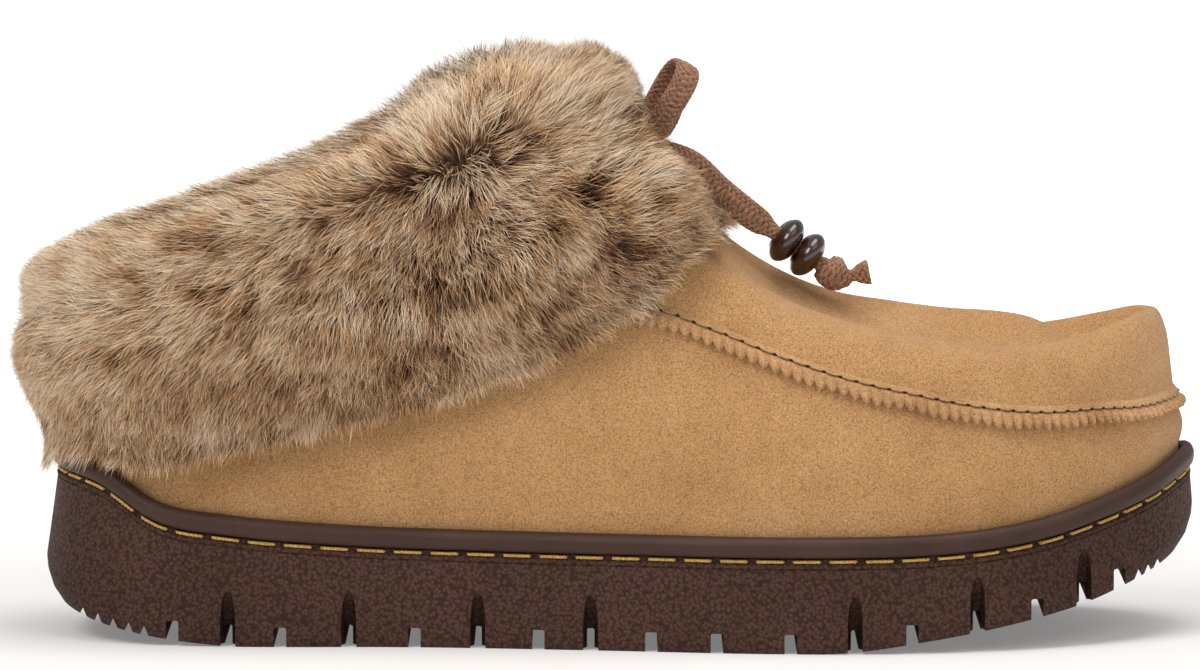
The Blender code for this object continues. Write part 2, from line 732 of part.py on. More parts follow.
def make_seam_strip(paint):
    """The pinked edge of the apron: a raised strip that follows the seam round the toe."""
    start = 0.515
    way, spots = HALVES[-1]
    length = (1 - start) * np.linalg.norm(np.diff(spots, axis=0), axis=1).sum()
    teeth = int(round(length / PINKING_PITCH))
    shares = np.linspace(start, 1, 2 * teeth + 1)
    walk = [(-1, r, k) for k, r in enumerate(shares)]
    walk += [(1, r, 2 * teeth + k) for k, r in enumerate(shares[-2::-1], 1)]
    points = []
    for side, round_, k in walk:
        at = upper_point(side, round_, 3.0)[0]
        up = (upper_point(side, round_, 3.1)[0] - upper_point(side, round_, 2.9)[0]) / 0.2
        slope = np.linalg.norm(up)
        below = SEAM_STRIP_BELOW + PINKING_DEPTH * (0.5 if k % 2 else -0.5)
        for mark, lift in (
            (3 + SEAM_STRIP_ABOVE / slope, 1.5 * CLEARANCE),
            (3 - below / slope, CLEARANCE + SEAM_STRIP_THICKNESS),
            (3 - below / slope, CLEARANCE),
        ):
            normal = upper_normal(side, round_, mark)[0]
            points.append(upper_point(side, round_, mark)[0] + normal * lift)
    faces = grid_faces(len(walk), 3, close_columns=True)
    faces += [(0, 1, 2), tuple(3 * (len(walk) - 1) + i for i in (2, 1, 0))]
    return add_mesh("pinked_seam_strip", points, faces, paint, 40)


def topline_stations(count):
    """Shares `round` that divide half of the topline into equal lengths."""
    bend = np.sin(np.linspace(0.02, math.pi / 2, 80))
    bend = OPENING_WIDEST + (THROAT - OPENING_WIDEST) * bend
    fine = np.concatenate([np.linspace(0, OPENING_WIDEST, 60), bend])
    line = upper_point(-1, fine, 7.0)
    way = np.concatenate([[0], np.cumsum(np.linalg.norm(np.diff(line, axis=0), axis=1))])
    return np.interp(np.linspace(0, way[-1], count + 1), way, fine)


def unit(vectors):
    return vectors / np.linalg.norm(vectors, axis=-1, keepdims=True)


class Cuff:
    """The band of the upper that the cuff covers, read at stations once round the collar."""

    def __init__(self, half):
        tops = topline_stations(half)
        self.way = share = np.linspace(0, 1, half + 1)
        self.half = half
        self.top = np.maximum(tops, TINY)
        table = curve_through(CUFF_WAY, share)
        self.edge_round, self.edge_up = table[:, 0], table[:, 1]
        self.pile, self.crest, self.crest_pile = (self.once_round(table[:, k]) for k in (2, 3, 4))
        self.edge_up[-1] = 7.0
        # Beside the throat the band leaves the topline across the sections, so it drops sooner.
        self.drop = 1 - 0.45 * np.exp(-(((share - 0.93) / 0.075) ** 2))
        # Behind the heel the pile thins towards its lower edge.
        self.heel = self.once_round(np.exp(-((share / 0.16) ** 2)))
        self.length = np.linalg.norm(self.row(1.0) - self.row(0.0), axis=1)

    def row(self, down):
        """Points of the upper's face at shares `down` of the band, once round."""
        down = np.broadcast_to(np.asarray(down, float), (2 * self.half,))
        found = []
        for side, part in ((-1, slice(0, self.half + 1)), (1, slice(self.half - 1, 0, -1))):
            share = down[: self.half + 1] if side < 0 else down[self.half + 1:]
            rounds = self.top[part] + (self.edge_round[part] - self.top[part]) * share
            ups = 7 + (self.edge_up[part] - 7) * share ** self.drop[part]
            found.append(upper_point(side, rounds, ups))
        return np.concatenate(found)

    def once_round(self, values):
        """Values of the outer half, repeated backwards for the inner half."""
        return np.concatenate([values, values[-2:0:-1]])[:, None]

    def frame(self, down):
        """(points, outward normals, directions down the band) at shares `down`."""
        down = np.broadcast_to(np.asarray(down, float), (2 * self.half,))
        spots = self.row(down)
        round_ = np.roll(spots, -1, axis=0) - np.roll(spots, 1, axis=0)
        fall = unit(self.row(np.minimum(down + 0.15, 1)) - self.row(np.maximum(down - 0.15, 0)))
        return spots, unit(np.cross(fall, round_)), fall


def make_cuff(paint):
    """The fur cuff: one ring folded over the topline, with rows of raised locks."""
    cuff = Cuff(28)
    rows, locks = [], []
    for down, share in CUFF_OUTSIDE:
        spots, normals, fall = cuff.frame(down)
        droop = fall * FUR_DROOP if down == 1 else 0
        thin = 1 - HEEL_TAPER * cuff.heel * down**2
        out = np.maximum(cuff.pile * FUR_PILE * share * thin, FUR_CLEARANCE + FUR_LEAST)
        rows.append(spots + normals * out + droop)
        locks.append(unit(normals + 0.7 * fall) * np.minimum(cuff.pile, 1))
    spots, normals, fall = cuff.frame(0.0)
    for climb, share in CUFF_CREST:
        out = cuff.crest_pile * FUR_PILE * share
        rows.append(spots - fall * cuff.crest * FUR_CREST * climb + normals * out)
        locks.append(unit(normals * (share - 0.2) - fall * (climb - 0.4)))
    for j, direction in enumerate(locks[:-1]):
        drawn = (np.arange(2 * cuff.half) + j) % 2 == 0
        rows[j][drawn] += direction[drawn] * LOCK_LENGTH
    reach = FUR_REACH_INSIDE / cuff.length
    # Under the throat the upper's wall turns more tightly than the stations follow.
    inner = UPPER_WALL + FUR_CLEARANCE * (1 + cuff.once_round(np.exp(-(((1 - cuff.way) / 0.12) ** 2))))
    for depth, thick in CUFF_LINING:
        spots, normals, _ = cuff.frame(depth * reach)
        rows.append(spots - normals * (inner + FUR_LINING * thick))
    for depth in (1.0, 0.5):
        spots, normals, _ = cuff.frame(depth * reach)
        rows.append(spots - normals * inner)
    spots, normals, fall = cuff.frame(0.0)
    rows.append(spots - fall * FUR_CLEARANCE - normals * (UPPER_WALL + FUR_CLEARANCE))
    rows.append(spots - fall * FUR_CLEARANCE + normals * FUR_CLEARANCE)
    for down in (0.2, 0.42, 0.7, 1.0):
        spots, normals, _ = cuff.frame(down)
        rows.append(spots + normals * FUR_CLEARANCE)
    faces = grid_faces(len(rows), 2 * cuff.half, True, True)
    return add_mesh("fur_cuff", np.concatenate(rows), faces, paint, 25)


def lace_points(rows, side):
    """World points of a lace's centre line, on the outer (-1) or the inner (1) half.

    The inner end lies beside the outer one, lower by the slope at which it is looked at.
    """
    rows = np.atleast_2d(np.asarray(rows, float))
    middle = float(curve_through(CENTRE_LINE, 0.55)[0, 1]) * BALL_WIDTH
    lower = (1 + side) * rows[:, 1] * VIEW_SLOPE
    return np.stack([HEEL_BACK_X + rows[:, 0], middle + side * rows[:, 1], rows[:, 2] - lower], 1)


def make_lace(name, points, wide, widths, thick, paint):
    """A flat lace: a six-sided section swept along a smooth line; `wide` is its width's way."""
    knots = np.arange(len(points), dtype=float)
    at = np.linspace(0, len(points) - 1, 2 * len(points) - 1)
    line = curve_through(np.column_stack([knots, points]), at)
    width = curve_through(np.column_stack([knots, widths]), at)[:, 0] * LACE_WIDTH / 2
    depth = curve_through(np.column_stack([knots, thick]), at)[:, 0] * LACE_THICKNESS / 2
    along = unit(np.gradient(line, axis=0))
    wide = curve_through(np.column_stack([knots, wide]), at)
    wide = unit(wide - (wide * along).sum(1, keepdims=True) * along)
    flat = np.cross(along, wide)
    section = ((1, 0), (0.75, 1), (-0.75, 1), (-1, 0), (-0.75, -1), (0.75, -1))
    rows = []
    for x, y in section:
        rows.append(line + wide * (x * width)[:, None] + flat * (y * depth)[:, None])
    grid = np.stack(rows, 1)
    count = len(line)
    faces = grid_faces(count, 6, close_columns=True)
    faces += [tuple(range(6)), tuple(6 * (count - 1) + i for i in reversed(range(6)))]
    return add_mesh(name, grid.reshape(-1, 3), faces, paint, 50)


def make_bead(name, centre, axis, paint):
    """A lens-shaped bead with a hole along its axis."""
    profile = (
        # share of length, radius
        (-0.50, 0.50 * BEAD_RADIUS),
        (-0.36, 0.76 * BEAD_RADIUS),
        (-0.08, BEAD_RADIUS),
        (0.08, BEAD_RADIUS),
        (0.36, 0.76 * BEAD_RADIUS),
        (0.50, 0.50 * BEAD_RADIUS),
        (0.48, BEAD_HOLE_RADIUS),
        (-0.48, BEAD_HOLE_RADIUS),
    )
    segments = 12
    points = []
    for along, radius in profile:
        for k in range(segments):
            turn = 2 * math.pi * k / segments
            points.append((radius * math.cos(turn), radius * math.sin(turn), along * BEAD_LENGTH))
    bead = add_mesh(name, points, grid_faces(len(profile), segments, True, True), paint, 50)
    bead.location = centre
    bead.rotation_mode = "QUATERNION"
    bead.rotation_quaternion = Vector(axis).to_track_quat("Z", "Y")
    return bead


def make_knot(name, paint):
    """The knot in the furrow at the throat, between the loops and the ends."""
    work = bmesh.new()
    bmesh.ops.create_icosphere(work, subdivisions=2, radius=KNOT_RADIUS)
    for vert in work.verts:
        ridge = 1 + 0.08 * math.sin(5 * math.atan2(vert.co.z, vert.co.y) + 2)
        vert.co = vert.co * ridge
        vert.co.x *= 0.85
    mesh = bpy.data.meshes.new(name)
    work.to_mesh(mesh)
    work.free()
    mesh.materials.append(paint)
    mesh.shade_smooth()
    knot = bpy.data.objects.new(name, mesh)
    knot.location = lace_points(KNOT_AT, -1)[0]
    bpy.context.scene.collection.objects.link(knot)
    return knot


def make_laces(lace_paint, bead_paint):
    """The knot, its two loops, and its two ends with two beads on each."""
    make_knot("lace_knot", lace_paint)
    half = np.array(LOOP_SHAPE)
    shape = np.concatenate([half * (1, -1), half[-2::-1]])
    for word, foot, out, apart, length, spread in LOOPS:
        out, apart = unit(np.array(out)), np.array(apart)
        apart = unit(apart - out * (apart @ out))
        points = lace_points(foot, 1) + (0, 0, 2 * foot[1] * VIEW_SLOPE)
        points = points + shape[:, :1] * out * length + shape[:, 1:] * apart * spread
        wide = np.tile(np.cross(out, apart), (len(points), 1))
        same = np.ones(len(points))
        make_lace(f"lace_loop_{word}", points, wide, same, same, lace_paint)
    rows = np.array(LACE_END)
    for side, word in zip(SIDES, ("outer", "inner")):
        end = lace_points(rows, side)
        wide = np.tile((0.45, 0.15 * side, 0.88), (len(end), 1))
        make_lace(f"lace_end_{word}", end, wide, rows[:, 3], rows[:, 4], lace_paint)
        first, last = end[6], end[8]
        for k, share in enumerate(BEADS_AT):
            place = first + (last - first) * share
            make_bead(f"bead_{word}_{k + 1}", place, unit(last - first), bead_paint)


def clear_scene():
    for obj in list(bpy.data.objects):
        bpy.data.objects.remove(obj)


def main():
    clear_scene()
    suede = material("suede", SUEDE, 0.95)
    sole_rubber = material("sole_rubber", SOLE_BROWN, 0.6)
    make_outsole(sole_rubber)
    make_welt(material("welt_leather", WELT_BROWN, 0.45))
    make_upper(suede)
    make_insole(material("fleece", FLEECE, 1.0))
    make_seam_strip(material("suede_edge", SUEDE_EDGE, 0.95))
    make_cuff(material("fur", FUR_BROWN, 0.9))
    make_laces(material("cotton_lace", LACE_BROWN, 0.9), material("dark_wood", BEAD_BROWN, 0.2))


main()
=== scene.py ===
"""Looks of the fur-cuffed moccasin slip-on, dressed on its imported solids.

Everything is in metres in the shoe's own frame: +X towards the toe, -Y towards the outer side
and +Z up. A place on the upper is found by `round`, a share from the heel's back (0) to the
toe's tip (1), and by `up`, which counts the section's marks from the feather edge (0) to the
middle of the apron or the topline (7). The same functions shape the solids.
"""

import json
import math

import bmesh
import bpy
import numpy as np
from mathutils import Matrix, Vector
from mathutils.kdtree import KDTree

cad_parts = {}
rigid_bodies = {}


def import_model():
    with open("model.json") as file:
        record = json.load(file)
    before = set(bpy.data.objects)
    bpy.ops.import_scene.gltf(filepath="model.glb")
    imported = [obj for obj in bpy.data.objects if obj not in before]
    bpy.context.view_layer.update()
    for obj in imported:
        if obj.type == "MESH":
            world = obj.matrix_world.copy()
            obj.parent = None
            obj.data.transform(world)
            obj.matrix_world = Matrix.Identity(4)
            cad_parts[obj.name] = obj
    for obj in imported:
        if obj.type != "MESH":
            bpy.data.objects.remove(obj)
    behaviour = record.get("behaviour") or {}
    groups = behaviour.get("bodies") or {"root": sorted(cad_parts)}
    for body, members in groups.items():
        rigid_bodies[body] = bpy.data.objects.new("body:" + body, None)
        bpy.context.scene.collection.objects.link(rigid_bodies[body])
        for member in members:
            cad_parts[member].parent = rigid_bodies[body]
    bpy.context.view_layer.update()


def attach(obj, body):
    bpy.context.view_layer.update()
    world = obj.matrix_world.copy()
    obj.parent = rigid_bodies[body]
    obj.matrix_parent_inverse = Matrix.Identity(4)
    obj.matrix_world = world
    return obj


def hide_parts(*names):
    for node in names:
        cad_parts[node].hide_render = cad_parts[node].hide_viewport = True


# Sole
SOLE_LENGTH = 0.272
BALL_WIDTH = 0.103
HEEL_WIDTH = 0.074
HEEL_BACK_X = -0.050
BALL_SOLE_THICKNESS = 0.0145
HEEL_SOLE_THICKNESS = 0.0175
SIDE_HEIGHT = 0.0222
HEEL_CUP_RISE = 0.0173
TOE_CUP_RISE = 0.0166
TOE_SPRING = 0.0200
HEEL_BEVEL = 0.0085
CUP_WALL = 0.0025
WALL_SET_BACK = 0.0005
HEEL_WALL_LEAN = 0.0021
SIDE_CORNER = 0.0020
TIP_CORNER = 0.0100
TIP_TUCK = 0.0068
STITCH_LEDGE_DEPTH = 0.0008
STITCH_LEDGE_HEIGHT = 0.0013
CHANNEL_DEPTH = 0.0046
CHANNEL_WIDTH = 0.0029
SLOT_HEIGHT = 0.0130
SLOT_WIDTH = 0.0036
SLOT_DEPTH = 0.0062
SERRATION_DEPTH = 0.0022
SERRATION_WIDTH = 0.0020
SERRATION_START = 0.0028
HEEL_SERRATION_PITCH = 0.0037
TOE_SERRATION_PITCH = 0.0024
TREAD_TUCK = 0.0007
CUTTER_REACH = 0.0040

# Welt, upper and footbed
WELT_HEIGHT = 0.0048
WELT_BULGE = 0.0009
UPPER_WALL = 0.0024
INSTEP_RISE = 0.0950
INSOLE_THICKNESS = 0.0050
SEAM_STRIP_THICKNESS = 0.0018
SEAM_STRIP_ABOVE = 0.0022
SEAM_STRIP_BELOW = 0.0033
SEAM_START = 0.497
PINKING_PITCH = 0.0040
PINKING_DEPTH = 0.0014
SOLE_STITCH_PITCH = 0.0086
SOLE_STITCH_GAP = 0.0018
SOLE_THREAD = 0.00042
SEAM_STITCH_PITCH = 0.0039
SEAM_THREAD = 0.00026

# Fur cuff
FUR_PILE = 0.0125
FUR_CREST = 0.0190
FUR_LINING = 0.0070
FUR_REACH_INSIDE = 0.0180
FUR_DROOP = 0.0030
HEEL_TAPER = 0.80
FUR_CLEARANCE = 0.0019
FUR_LEAST = 0.0005

# Lace and beads
LACE_WIDTH = 0.0066
LACE_THICKNESS = 0.0018
BEAD_RADIUS = 0.0056
BEAD_LENGTH = 0.0056
BEAD_HOLE_RADIUS = 0.0024
KNOT_RADIUS = 0.0033
VIEW_SLOPE = 0.080

CLEARANCE = 0.0003
TINY = 1e-6
THROAT = 0.475
OPENING_WIDEST = 0.400
SIDES = (-1, 1)

OUTLINE = (
    # along, outer, inner
    (0.020, 0.270, 0.270),
    (0.075, 0.435, 0.435),
    (0.170, 0.500, 0.495),
    (0.320, 0.478, 0.440),
    (0.480, 0.470, 0.405),
    (0.620, 0.495, 0.440),
    (0.740, 0.500, 0.480),
    (0.840, 0.435, 0.475),
    (0.920, 0.305, 0.420),
    (0.975, 0.130, 0.300),
)
TOE_TIP_INWARD = 0.095
CENTRE_LINE = (
    # round, along, inward
    (0.00, 0.110, 0.000),
    (0.10, 0.135, 0.000),
    (0.20, 0.180, 0.000),
    (0.30, 0.279, -0.008),
    (0.40, 0.393, -0.022),
    (0.50, 0.508, -0.034),
    (0.60, 0.624, -0.030),
    (0.70, 0.735, -0.008),
    (0.80, 0.825, 0.030),
    (0.90, 0.876, 0.062),
    (0.95, 0.892, 0.072),
    (1.00, 0.904, 0.080),
)
CUP_LINE = (
    # round, heel share, toe share
    (0.00, 1.000, 0.000),
    (0.05, 0.990, 0.000),
    (0.10, 0.850, 0.000),
    (0.15, 0.360, 0.000),
    (0.20, 0.205, 0.000),
    (0.25, 0.120, 0.000),
    (0.30, 0.060, 0.000),
    (0.40, 0.015, 0.000),
    (0.50, 0.000, 0.000),
    (0.65, 0.000, 0.000),
    (0.70, 0.000, 0.020),
    (0.75, 0.000, 0.085),
    (0.80, 0.000, 0.225),
    (0.85, 0.000, 0.445),
    (0.90, 0.000, 0.670),
    (0.95, 0.000, 0.890),
    (1.00, 0.000, 1.000),
)
TREAD_LINE = (
    # along, heel share, toe share
    (0.000, 1.000, 0.000),
    (0.045, 0.560, 0.000),
    (0.088, 0.285, 0.000),
    (0.130, 0.100, 0.000),
    (0.165, 0.000, 0.000),
    (0.400, 0.000, 0.000),
    (0.675, 0.000, 0.000),
    (0.705, 0.000, 0.030),
    (0.750, 0.000, 0.115),
    (0.805, 0.000, 0.235),
    (0.857, 0.000, 0.370),
    (0.898, 0.000, 0.505),
    (0.932, 0.000, 0.655),
    (0.965, 0.000, 0.810),
    (1.000, 0.000, 1.000),
)
SECTIONS = (
    # round, seam h, seam in, ridge h, ridge in, trough h, trough in, top h, top in
    (0.000, 0.126, 0.000, 0.232, 0.030, 0.284, 0.050, 0.326, 0.070),
    (0.100, 0.147, 0.000, 0.274, 0.030, 0.337, 0.060, 0.389, 0.080),
    (0.150, 0.210, 0.000, 0.379, 0.030, 0.463, 0.060, 0.526, 0.090),
    (0.200, 0.253, 0.000, 0.442, 0.050, 0.537, 0.090, 0.611, 0.130),
    (0.300, 0.316, 0.000, 0.547, 0.080, 0.663, 0.130, 0.758, 0.190),
    (0.400, 0.400, 0.020, 0.663, 0.120, 0.800, 0.210, 0.900, 0.310),
    (0.450, 0.484, 0.050, 0.758, 0.220, 0.874, 0.360, 0.963, 0.490),
    (0.475, 0.526, 0.080, 0.800, 0.320, 0.926, 0.620, 1.000, 1.000),
    (0.500, 0.547, 0.100, 0.789, 0.380, 0.874, 0.650, 0.905, 1.000),
    (0.550, 0.500, 0.120, 0.695, 0.430, 0.747, 0.660, 0.758, 1.000),
    (0.600, 0.435, 0.110, 0.580, 0.430, 0.572, 0.650, 0.639, 1.000),
    (0.650, 0.379, 0.090, 0.515, 0.410, 0.492, 0.640, 0.565, 1.000),
    (0.700, 0.337, 0.070, 0.476, 0.390, 0.446, 0.620, 0.533, 1.000),
    (0.750, 0.293, 0.055, 0.438, 0.370, 0.403, 0.600, 0.502, 1.000),
    (0.800, 0.251, 0.050, 0.405, 0.360, 0.366, 0.590, 0.468, 1.000),
    (0.850, 0.213, 0.050, 0.381, 0.360, 0.333, 0.590, 0.414, 1.000),
    (0.900, 0.168, 0.055, 0.366, 0.350, 0.303, 0.590, 0.347, 1.000),
    (0.950, 0.135, 0.055, 0.350, 0.320, 0.272, 0.570, 0.283, 1.000),
    (1.000, 0.125, 0.050, 0.336, 0.300, 0.246, 0.560, 0.253, 1.000),
)
BULGE_HEIGHT = 0.42
BULGE_OUT = 0.0009
SHOULDER_HEIGHT = 0.74
SHOULDER_IN = 0.34

CUFF_WAY = (
    # way, edge round, edge up, pile, crest, crest pile
    (0.00, 0.000, 1.75, 1.02, 0.74, 1.00),
    (0.15, 0.105, 2.40, 1.04, 0.80, 1.00),
    (0.32, 0.225, 2.90, 1.02, 0.82, 1.00),
    (0.48, 0.305, 3.10, 1.00, 0.78, 1.00),
    (0.64, 0.380, 3.20, 1.00, 0.92, 1.00),
    (0.74, 0.430, 3.20, 1.00, 1.16, 1.00),
    (0.82, 0.470, 3.20, 1.10, 1.17, 1.04),
    (0.89, 0.505, 3.45, 1.30, 0.72, 1.34),
    (0.933, 0.527, 4.25, 1.36, 0.62, 1.10),
    (0.967, 0.540, 5.50, 0.45, 0.84, 0.88),
    (1.000, 0.547, 7.00, 0.12, 1.00, 0.90),
)
CUFF_OUTSIDE = (
    # down, pile
    (1.00, 0.42),
    (0.92, 0.86),
    (0.74, 1.04),
    (0.56, 1.08),
    (0.38, 1.02),
    (0.20, 0.92),
    (0.04, 0.78),
)
CUFF_CREST = (
    # rise, pile
    (0.46, 0.98),
    (0.86, 0.78),
    (1.00, 0.24),
    (0.82, -0.28),
    (0.42, -0.55),
)
CUFF_LINING = (
    # share of the reach inside, thickness share
    (0.30, 1.00),
    (0.78, 0.90),
    (1.00, 0.40),
)

LACE_END = (
    # along, across, height, width, thickness
    (0.1434, 0.0020, 0.1148, 0.60, 1.0),
    (0.1480, 0.0030, 0.1132, 0.90, 1.0),
    (0.1532, 0.0042, 0.1107, 1.00, 1.0),
    (0.1590, 0.0052, 0.1053, 1.00, 1.0),
    (0.1645, 0.0060, 0.1008, 1.00, 1.0),
    (0.1690, 0.0064, 0.0975, 0.90, 1.1),
    (0.1722, 0.0065, 0.0952, 0.52, 1.9),
    (0.1776, 0.0066, 0.0914, 0.50, 1.9),
    (0.1830, 0.0066, 0.0878, 0.52, 1.9),
    (0.1844, 0.0066, 0.0866, 1.05, 3.6),
    (0.1868, 0.0066, 0.0852, 1.20, 4.0),
    (0.1890, 0.0066, 0.0847, 0.80, 2.6),
    (0.1906, 0.0066, 0.0849, 0.40, 1.4),
    (0.1926, 0.0066, 0.0853, 0.70, 1.8),
    (0.1946, 0.0066, 0.0857, 0.90, 2.0),
)
LOOP_SHAPE = (
    # out, spread
    (0.00, 0.30),
    (0.20, 0.42),
    (0.42, 0.50),
    (0.64, 0.54),
    (0.82, 0.50),
    (0.95, 0.32),
    (1.00, 0.00),
)
LOOPS = (
    # name, foot, way out, way apart, length, spread
    ("outer", (0.1424, -0.0009, 0.1186), (0.50, -0.05, 0.86), (-0.34, 0.90, 0.20), 0.0179, 0.0074),
    ("inner", (0.1444, 0.0052, 0.1200), (0.12, 0.98, 0.02), (0.45, 0.0, 0.89), 0.0192, 0.0050),
)
KNOT_AT = (0.1373, -0.0007, 0.1242)
BEADS_AT = (0.27, 0.73)
SLOTS_AT = (0.162, 0.266, 0.377, 0.474, 0.700, 0.805, 0.898)
CHANNELS_AT = (0.114, 0.207, 0.3225, 0.429, 0.526, 0.582, 0.645, 0.749, 0.857, 0.930)
HEEL_SERRATIONS = 5
TOE_SERRATIONS = 3

# The coat as seen from the outer side: places are metres from the heel's back and seen heights.
HAIR_FLOW = (
    # along, height, the way the tips point in degrees (0 towards the toe, 90 up)
    (0.0024, 0.0791, 180),
    (0.0060, 0.0680, 225),
    (0.0119, 0.0553, 258),
    (0.0119, 0.0970, 155),
    (0.0238, 0.0482, 276),
    (0.0405, 0.0970, 200),
    (0.0405, 0.1149, 130),
    (0.0477, 0.0768, 240),
    (0.0596, 0.0505, 268),
    (0.0668, 0.1125, 150),
    (0.0668, 0.0994, 235),
    (0.0715, 0.1244, 160),
    (0.0787, 0.0768, 265),
    (0.0811, 0.1173, 145),
    (0.0811, 0.1042, 250),
    (0.0954, 0.0601, 285),
    (0.0954, 0.1340, 130),
    (0.0954, 0.1221, 125),
    (0.0954, 0.1089, 270),
    (0.1073, 0.0768, 300),
    (0.1040, 0.1150, 300),
    (0.1060, 0.1270, 75),
    (0.1090, 0.1210, 25),
    (0.1120, 0.1140, 335),
    (0.1144, 0.1411, 80),
    (0.1200, 0.1180, 5),
    (0.1200, 0.1070, 325),
    (0.1216, 0.1364, 47),
    (0.1311, 0.0911, 315),
    (0.1311, 0.0768, 305),
    (0.1359, 0.1244, 12),
    (0.1478, 0.1078, 350),
    (0.1502, 0.0935, 325),
)
COAT_PATCHES = (
    # along, height, half length, half height, change of tone
    (0.1030, 0.1200, 0.0040, 0.0018, -0.50),
    (0.0946, 0.1163, 0.0046, 0.0020, -0.55),
    (0.0870, 0.1130, 0.0046, 0.0018, -0.50),
    (0.0800, 0.1102, 0.0046, 0.0018, -0.50),
    (0.0730, 0.1078, 0.0046, 0.0018, -0.45),
    (0.0834, 0.1068, 0.0045, 0.0024, -0.35),
    (0.0932, 0.1006, 0.0055, 0.0035, -0.40),
    (0.1020, 0.1032, 0.0050, 0.0030, -0.35),
    (0.1161, 0.1211, 0.0040, 0.0028, -0.35),
    (0.1197, 0.0997, 0.0050, 0.0030, -0.35),
    (0.1380, 0.0946, 0.0060, 0.0042, -0.55),
    (0.1430, 0.1242, 0.0040, 0.0035, -0.40),
    (0.1089, 0.1323, 0.0090, 0.0035, -0.25),
    (0.0594, 0.0901, 0.0040, 0.0035, -0.38),
    (0.0603, 0.0830, 0.0040, 0.0030, -0.35),
    (0.0493, 0.0803, 0.0050, 0.0032, -0.38),
    (0.0401, 0.0839, 0.0045, 0.0030, -0.32),
    (0.0379, 0.0963, 0.0060, 0.0026, -0.35),
    (0.0188, 0.0892, 0.0045, 0.0026, -0.28),
    (0.0899, 0.0715, 0.0040, 0.0030, -0.32),
    (0.0849, 0.0660, 0.0040, 0.0026, -0.28),
    (0.0734, 0.1206, 0.0100, 0.0018, -0.35),
    (0.0345, 0.0583, 0.0110, 0.0040, -0.16),
    (0.0740, 0.0735, 0.0100, 0.0045, -0.18),
    (0.1105, 0.0850, 0.0180, 0.0055, -0.18),
)
COAT_SLOPE = 0.105
COAT_STATIONS = 240
COAT_DEPTH = 0.45
HAIR_LENGTH = 0.0100
HAIR_WIDTH = 0.00018
HAIRS = 50000
SEED = 7

# Camera: what it looks at, how far it stands, and how high it looks down from.
AIM = (0.0811, 0.0, 0.0699)
ELEVATION = 5.2
LENS = 300.0
PIXEL = 0.0002368
IMAGE_WIDTH = 1200


def curve_through(rows, at):
    """The columns of a table, read at the places `at` on a smooth curve through its rows."""
    rows, at = np.asarray(rows, float), np.atleast_1d(np.asarray(at, float))
    knots, values = rows[:, 0], rows[:, 1:]
    slopes = np.gradient(values, knots, axis=0)
    i = np.clip(np.searchsorted(knots, at, side="right") - 1, 0, len(knots) - 2)
    h = (knots[i + 1] - knots[i])[:, None]
    t = (at - knots[i])[:, None] / h
    start = (2 * t**3 - 3 * t**2 + 1) * values[i] + (t**3 - 2 * t**2 + t) * h * slopes[i]
    return start + (3 * t**2 - 2 * t**3) * values[i + 1] + (t**3 - t**2) * h * slopes[i + 1]


def unit(vectors):
    return vectors / np.linalg.norm(vectors, axis=-1, keepdims=True)


def smooth_step(low, high, at):
    t = np.clip((at - low) / (high - low), 0, 1)
    return t * t * (3 - 2 * t)


def width_at(along):
    t = np.clip((along - 0.20) / 0.45, 0, 1)
    return HEEL_WIDTH + (BALL_WIDTH - HEEL_WIDTH) * t * t * (3 - 2 * t)


def half_outlines():
    """For each side, (share of its length, points) from the heel's back to the toe's tip."""
    rows = np.array(OUTLINE)
    x, width = rows[:, 0] * SOLE_LENGTH, width_at(rows[:, 0])
    outer = np.stack([x, -rows[:, 1] * width], 1)
    inner = np.stack([x, rows[:, 2] * width], 1)
    heel, toe = [[0.0, 0.0]], [[SOLE_LENGTH, TOE_TIP_INWARD * BALL_WIDTH]]
    loop = np.concatenate([heel, outer, toe, inner[::-1]])
    loop = np.concatenate([loop, loop, loop[:1]])
    chord = np.cumsum(np.linalg.norm(np.diff(loop, axis=0), axis=1) ** 0.75)
    table = np.column_stack([np.concatenate([[0], chord]), loop])
    half, ring = len(rows) + 1, 2 * len(rows) + 2
    found = {}
    for side, first, last in ((-1, ring, ring + half), (1, ring, ring - half)):
        at = np.linspace(table[first, 0], table[last, 0], 1200)
        points = curve_through(table, at) + (HEEL_BACK_X, 0)
        way = np.concatenate([[0], np.cumsum(np.linalg.norm(np.diff(points, axis=0), axis=1))])
        found[side] = (way / way[-1], points, way[-1])
    return found


HALVES = half_outlines()


def outline_point(side, round_, inset=0.0):
    """Points of the sole's outline, moved inwards by `inset`, in plan."""
    way, points, _ = HALVES[side]
    step = 2e-3
    spots = []
    for at in (round_, np.maximum(round_ - step, 0), np.minimum(round_ + step, 1)):
        spots.append(np.stack([np.interp(at, way, points[:, k]) for k in (0, 1)], -1))
    along = spots[2] - spots[1]
    # At the heel's back and the toe's tip both halves meet square to the length.
    for tip in (0, 1):
        at_tip = np.abs(np.asarray(round_) - tip)[..., None] < 1e-9
        along = np.where(at_tip, (0, (1 - 2 * tip) * side), along)
    along = unit(along)
    normal = np.stack([along[..., 1], -along[..., 0]], -1) * side
    return spots[0] + normal * np.asarray(inset)[..., None]


def side_top(round_):
    heel, toe = curve_through(CUP_LINE, round_).T
    return (SIDE_HEIGHT + HEEL_CUP_RISE * heel + TOE_CUP_RISE * toe).reshape(np.shape(round_))


def tread_height(x):
    along = np.clip((np.asarray(x) - HEEL_BACK_X) / SOLE_LENGTH, 0, 1)
    heel, toe = curve_through(TREAD_LINE, along.ravel()).T
    return np.maximum(HEEL_BEVEL * heel + TOE_SPRING * toe, 0).reshape(np.shape(x))


